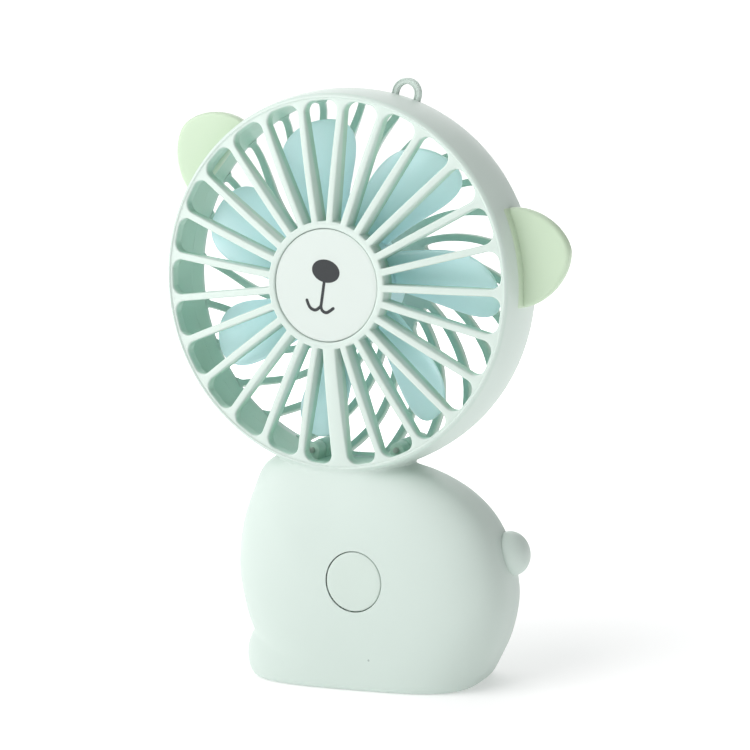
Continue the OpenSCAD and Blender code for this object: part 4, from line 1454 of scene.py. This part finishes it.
@dataclass
class SmallParts:
    """Tail, power button, lanyard loop and the light's lens."""

    case: Case
    tail_at: tuple[float, float, float] = (42.5, 4.0, 35.2)
    tail_tilt: float = 13.0
    tail_r: float = 6.0
    tail_out: float = 4.9
    button_r: float = 7.95
    loop_angle: float = 70.5
    loop_y: float = 6.4
    loop_r: float = 3.28
    loop_feet: tuple[float, float] = (50.6, 51.6)
    loop_centre: float = 52.3
    loop_half: tuple[float, float] = (0.82, 1.0)
    loop_round: float = 0.4
    lens: tuple[float, float] = (8.5, 9.0)

    def tail(self) -> bpy.types.Mesh:
        """Makes the squashed ball of the tail."""
        arc = [(self.tail_r * math.cos(t), self.tail_out * math.sin(t))
               for t in np.linspace(0, math.pi / 2, 22)]
        profile = [(0, -0.68), (self.tail_r - 0.5, -0.68), (self.tail_r - 0.16, -0.55)] + arc
        form = Form().turned(profile, 96, closed=False)
        turn = Matrix.Rotation(-math.radians(90), 4, "Z")
        tilt = Matrix.Rotation(math.radians(-self.tail_tilt), 4, "Y")
        return form.moved(Matrix.Translation(self.tail_at) @ tilt @ turn).mesh("tail_look")

    def button(self) -> bpy.types.Mesh:
        """Makes the button, whose face follows the body's."""
        cx, cz = self.case.button
        rows = []
        angle = np.linspace(0, 2 * math.pi, 96, endpoint=False)
        steps = [(share, 0.0) for share in (0.02, 0.25, 0.5, 0.75, 0.93)]
        steps += [(0.965, 0.03), (0.985, 0.09), (0.996, 0.18), (1.0, 0.32)]
        for share, drop in steps:
            x = cx + self.button_r * share * np.cos(angle)
            z = cz + self.button_r * share * np.sin(angle)
            y = self.case.front(x, z) + 0.06 + drop
            rows.append(np.stack([x, y, z], -1))
        last = rows[-1].copy()
        last[:, 1] = -13.3
        rows.append(last)
        return Form().sheet(np.array(rows), wrap_columns=True, caps=True).mesh("button_look")

    def loop(self) -> bpy.types.Mesh:
        """Makes the small arch for a cord."""
        path = [(foot, -self.loop_r) for foot in self.loop_feet]
        path += [(self.loop_centre + self.loop_r * math.sin(t), -self.loop_r * math.cos(t))
                 for t in np.linspace(0, math.pi, 21)]
        path += [(foot, self.loop_r) for foot in self.loop_feet[::-1]]
        p = np.array(path)
        way = np.gradient(p, axis=0)
        way /= np.linalg.norm(way, axis=1)[:, None]
        out = np.stack([-way[:, 1], way[:, 0]], -1)
        section = []
        (wide, deep), turn = self.loop_half, self.loop_round
        for cu, cy in ((1, 1), (1, -1), (-1, -1), (-1, 1)):
            order = (15, 45, 75) if cu * cy > 0 else (75, 45, 15)
            for q in np.radians(order):
                section.append((cu * (wide - turn + turn * math.cos(q)), cy * (deep - turn + turn * math.sin(q))))
        loops = []
        for i in range(len(p)):
            loops.append([(p[i, 0] + out[i, 0] * u, self.loop_y + y, p[i, 1] + out[i, 1] * u) for u, y in section])
        form = Form().sheet(np.array(loops), wrap_columns=True, caps=True)
        return form.moved(on_head() @ about_y(self.loop_angle)).mesh("lanyard_loop")

    def pipe(self) -> bpy.types.Mesh:
        """Makes the end of the light pipe, level with the body's face."""
        x, z = self.lens
        y = float(self.case.front(np.array([x]), np.array([z]))[0])
        profile = [(0, y - 0.02), (0.25, y - 0.015), (0.38, y + 0.02), (0.4, y + 0.1), (0.4, -9.5), (0, -9.5)]
        return Form().turned(profile, 24, closed=False).moved(Matrix.Translation((x, 0, z))).mesh("led_lens")

    def build(self) -> None:
        """Builds the small parts."""
        settle(place("tail_look", self.tail(), MINT), Part.HOUSING, "tail_mint", "tail")
        settle(place("button_look", self.button(), MINT_BUTTON), Part.BUTTON, "button_mint", "power_button")
        settle(place("lanyard_loop", self.loop(), MINT), Part.HOUSING, "shell_mint", "front_shell")
        settle(place("led_lens", self.pipe(), PIPE), Part.HOUSING, "led_clear", "status_led")


# ---------------------------------------------------------------- studio


@dataclass
class Studio:
    """Camera, floor, soft lights and the white all round."""

    eye: tuple[float, float, float] = (0.23146, -0.47066, 0.14604)
    right: tuple[float, float, float] = (0.90390, 0.42465, -0.05145)
    up: tuple[float, float, float] = (-0.00446, 0.12962, 0.99156)
    away: tuple[float, float, float] = (0.42774, -0.89603, 0.11905)
    lens: float = 93.4
    floor_half: float = 6.0
    floor_glow: float = 0.95
    glow_steps: tuple[tuple[float, float], ...] = ((0.06, 0.34), (0.50, 1.0))
    lamps: tuple[tuple[str, Spot, Spot, float, float], ...] = (
        ("key", (-0.62, -0.72, 0.80), (0, 0, 0.08), 1.2, 9.9),
        ("behind", (-0.35, 0.85, 0.45), (0, 0, 0.09), 0.9, 3.0),
        ("top", (0.0, 0.25, 1.1), (0, 0, 0.05), 0.9, 2.0))
    fill: float = 0.46
    fill_lean: float = 0.26
    backdrop: float = 1.1

    def camera(self) -> None:
        """Sets the camera."""
        data = bpy.data.cameras.new("camera")
        data.lens = self.lens
        data.sensor_width = 36.0
        data.clip_start = 0.01
        data.clip_end = 20.0
        piece = bpy.data.objects.new("camera", data)
        bpy.context.scene.collection.objects.link(piece)
        m = Matrix.Identity(4)
        for i, axis in enumerate((self.right, self.up, self.away)):
            for j in range(3):
                m[j][i] = axis[j]
        m.translation = Vector(self.eye)
        piece.matrix_world = m
        bpy.context.scene.camera = piece

    def floor(self) -> None:
        """Lays the plain floor, which glows as white as the world behind it, more weakly near the object: a
        painted darker zone round it.
        """
        mesh = bpy.data.meshes.new("floor")
        s = self.floor_half
        mesh.from_pydata([(-s, -s, 0.0), (s, -s, 0.0), (s, s, 0.0), (-s, s, 0.0)], [], [(0, 1, 2, 3)])
        floor = bpy.data.objects.new("floor", mesh)
        bpy.context.scene.collection.objects.link(floor)
        paper = Finish("paper_white", (0.8, 0.8, 0.8), 0.9, grain_mm=2.0, depth=0.0, tint=0.0,
                       specular=0.0).material()
        shader = next(n for n in paper.node_tree.nodes if n.type == "BSDF_PRINCIPLED")
        board = Board(paper.node_tree)
        spot = board.node("ShaderNodeTexCoord", out="Object")
        reach = board.node("ShaderNodeVectorMath", {"operation": "LENGTH"}, {0: spot}, "Value")
        # Painted shade: the floor's glow fades towards the object, so the floor round it is darker
        glow = board.node("ShaderNodeValToRGB", {"stops": [(at, (v, v, v, 1)) for at, v in self.glow_steps]},
                          {"Fac": reach}, "Color")
        paper.node_tree.links.new(glow.socket, shader.inputs["Emission Color"])
        shader.inputs["Emission Strength"].default_value = self.floor_glow
        mesh.materials.append(paper)

    @staticmethod
    def light(name: str, spot: Spot, aim: Spot, size: float, power: float) -> None:
        """Adds one soft square light.

        Args:
            name: name of the light.
            spot: where it hangs, in metres.
            aim: the point that it faces.
            size: width of the light.
            power: power in watts.
        """
        data = bpy.data.lights.new(name, "AREA")
        data.size = size
        data.energy = power
        lamp = bpy.data.objects.new(name, data)
        bpy.context.scene.collection.objects.link(lamp)
        lamp.location = spot
        lamp.rotation_euler = (Vector(spot) - Vector(aim)).to_track_quat("Z", "Y").to_euler()

    def build(self) -> None:
        """Sets up the studio."""
        self.camera()
        self.floor()
        for lamp in self.lamps:
            self.light(*lamp)
        world = bpy.data.worlds.new("studio")
        world.use_nodes = True
        back = next(n for n in world.node_tree.nodes if n.type == "BACKGROUND")
        back.inputs["Color"].default_value = (1.0, 1.0, 1.0, 1.0)
        board = Board(world.node_tree)
        seen = board.node("ShaderNodeLightPath", out="Is Camera Ray")
        way = board.node("ShaderNodeTexCoord", out="Generated")
        across = board.node("ShaderNodeSeparateXYZ", None, {"Vector": way}, 0)
        glow = (self.fill - across * self.fill_lean) * (1.0 - seen) + seen * self.backdrop
        world.node_tree.links.new(glow.socket, back.inputs["Strength"])
        bpy.context.scene.world = world
        view = bpy.context.scene.view_settings
        view.view_transform = "Standard"
        view.look = "None"


def dress_kept_parts() -> None:
    """Gives every CAD part that stays in view its finish."""
    for name, finish in KEPT.items():
        mesh = frame["nodes"][name].data
        for i in range(max(1, len(mesh.materials))):
            if i < len(mesh.materials):
                mesh.materials[i] = finish.material()
            else:
                mesh.materials.append(finish.material())
        LOG.info("%s: kept, %s", name, finish.name)


def main() -> None:
    """Builds the fan, piece by piece, and the studio round it."""
    logging.basicConfig(level=logging.INFO, format="%(name)s %(message)s")
    copies = CopyRound()
    case = Case()
    case.build()
    FrontGrille().build(copies)
    RearGrille().build(copies)
    Impeller().build(copies)
    Face().build()
    Ears().build()
    SmallParts(case).build()
    dress_kept_parts()
    Studio().build()


if __name__ == "__main__":
    main()
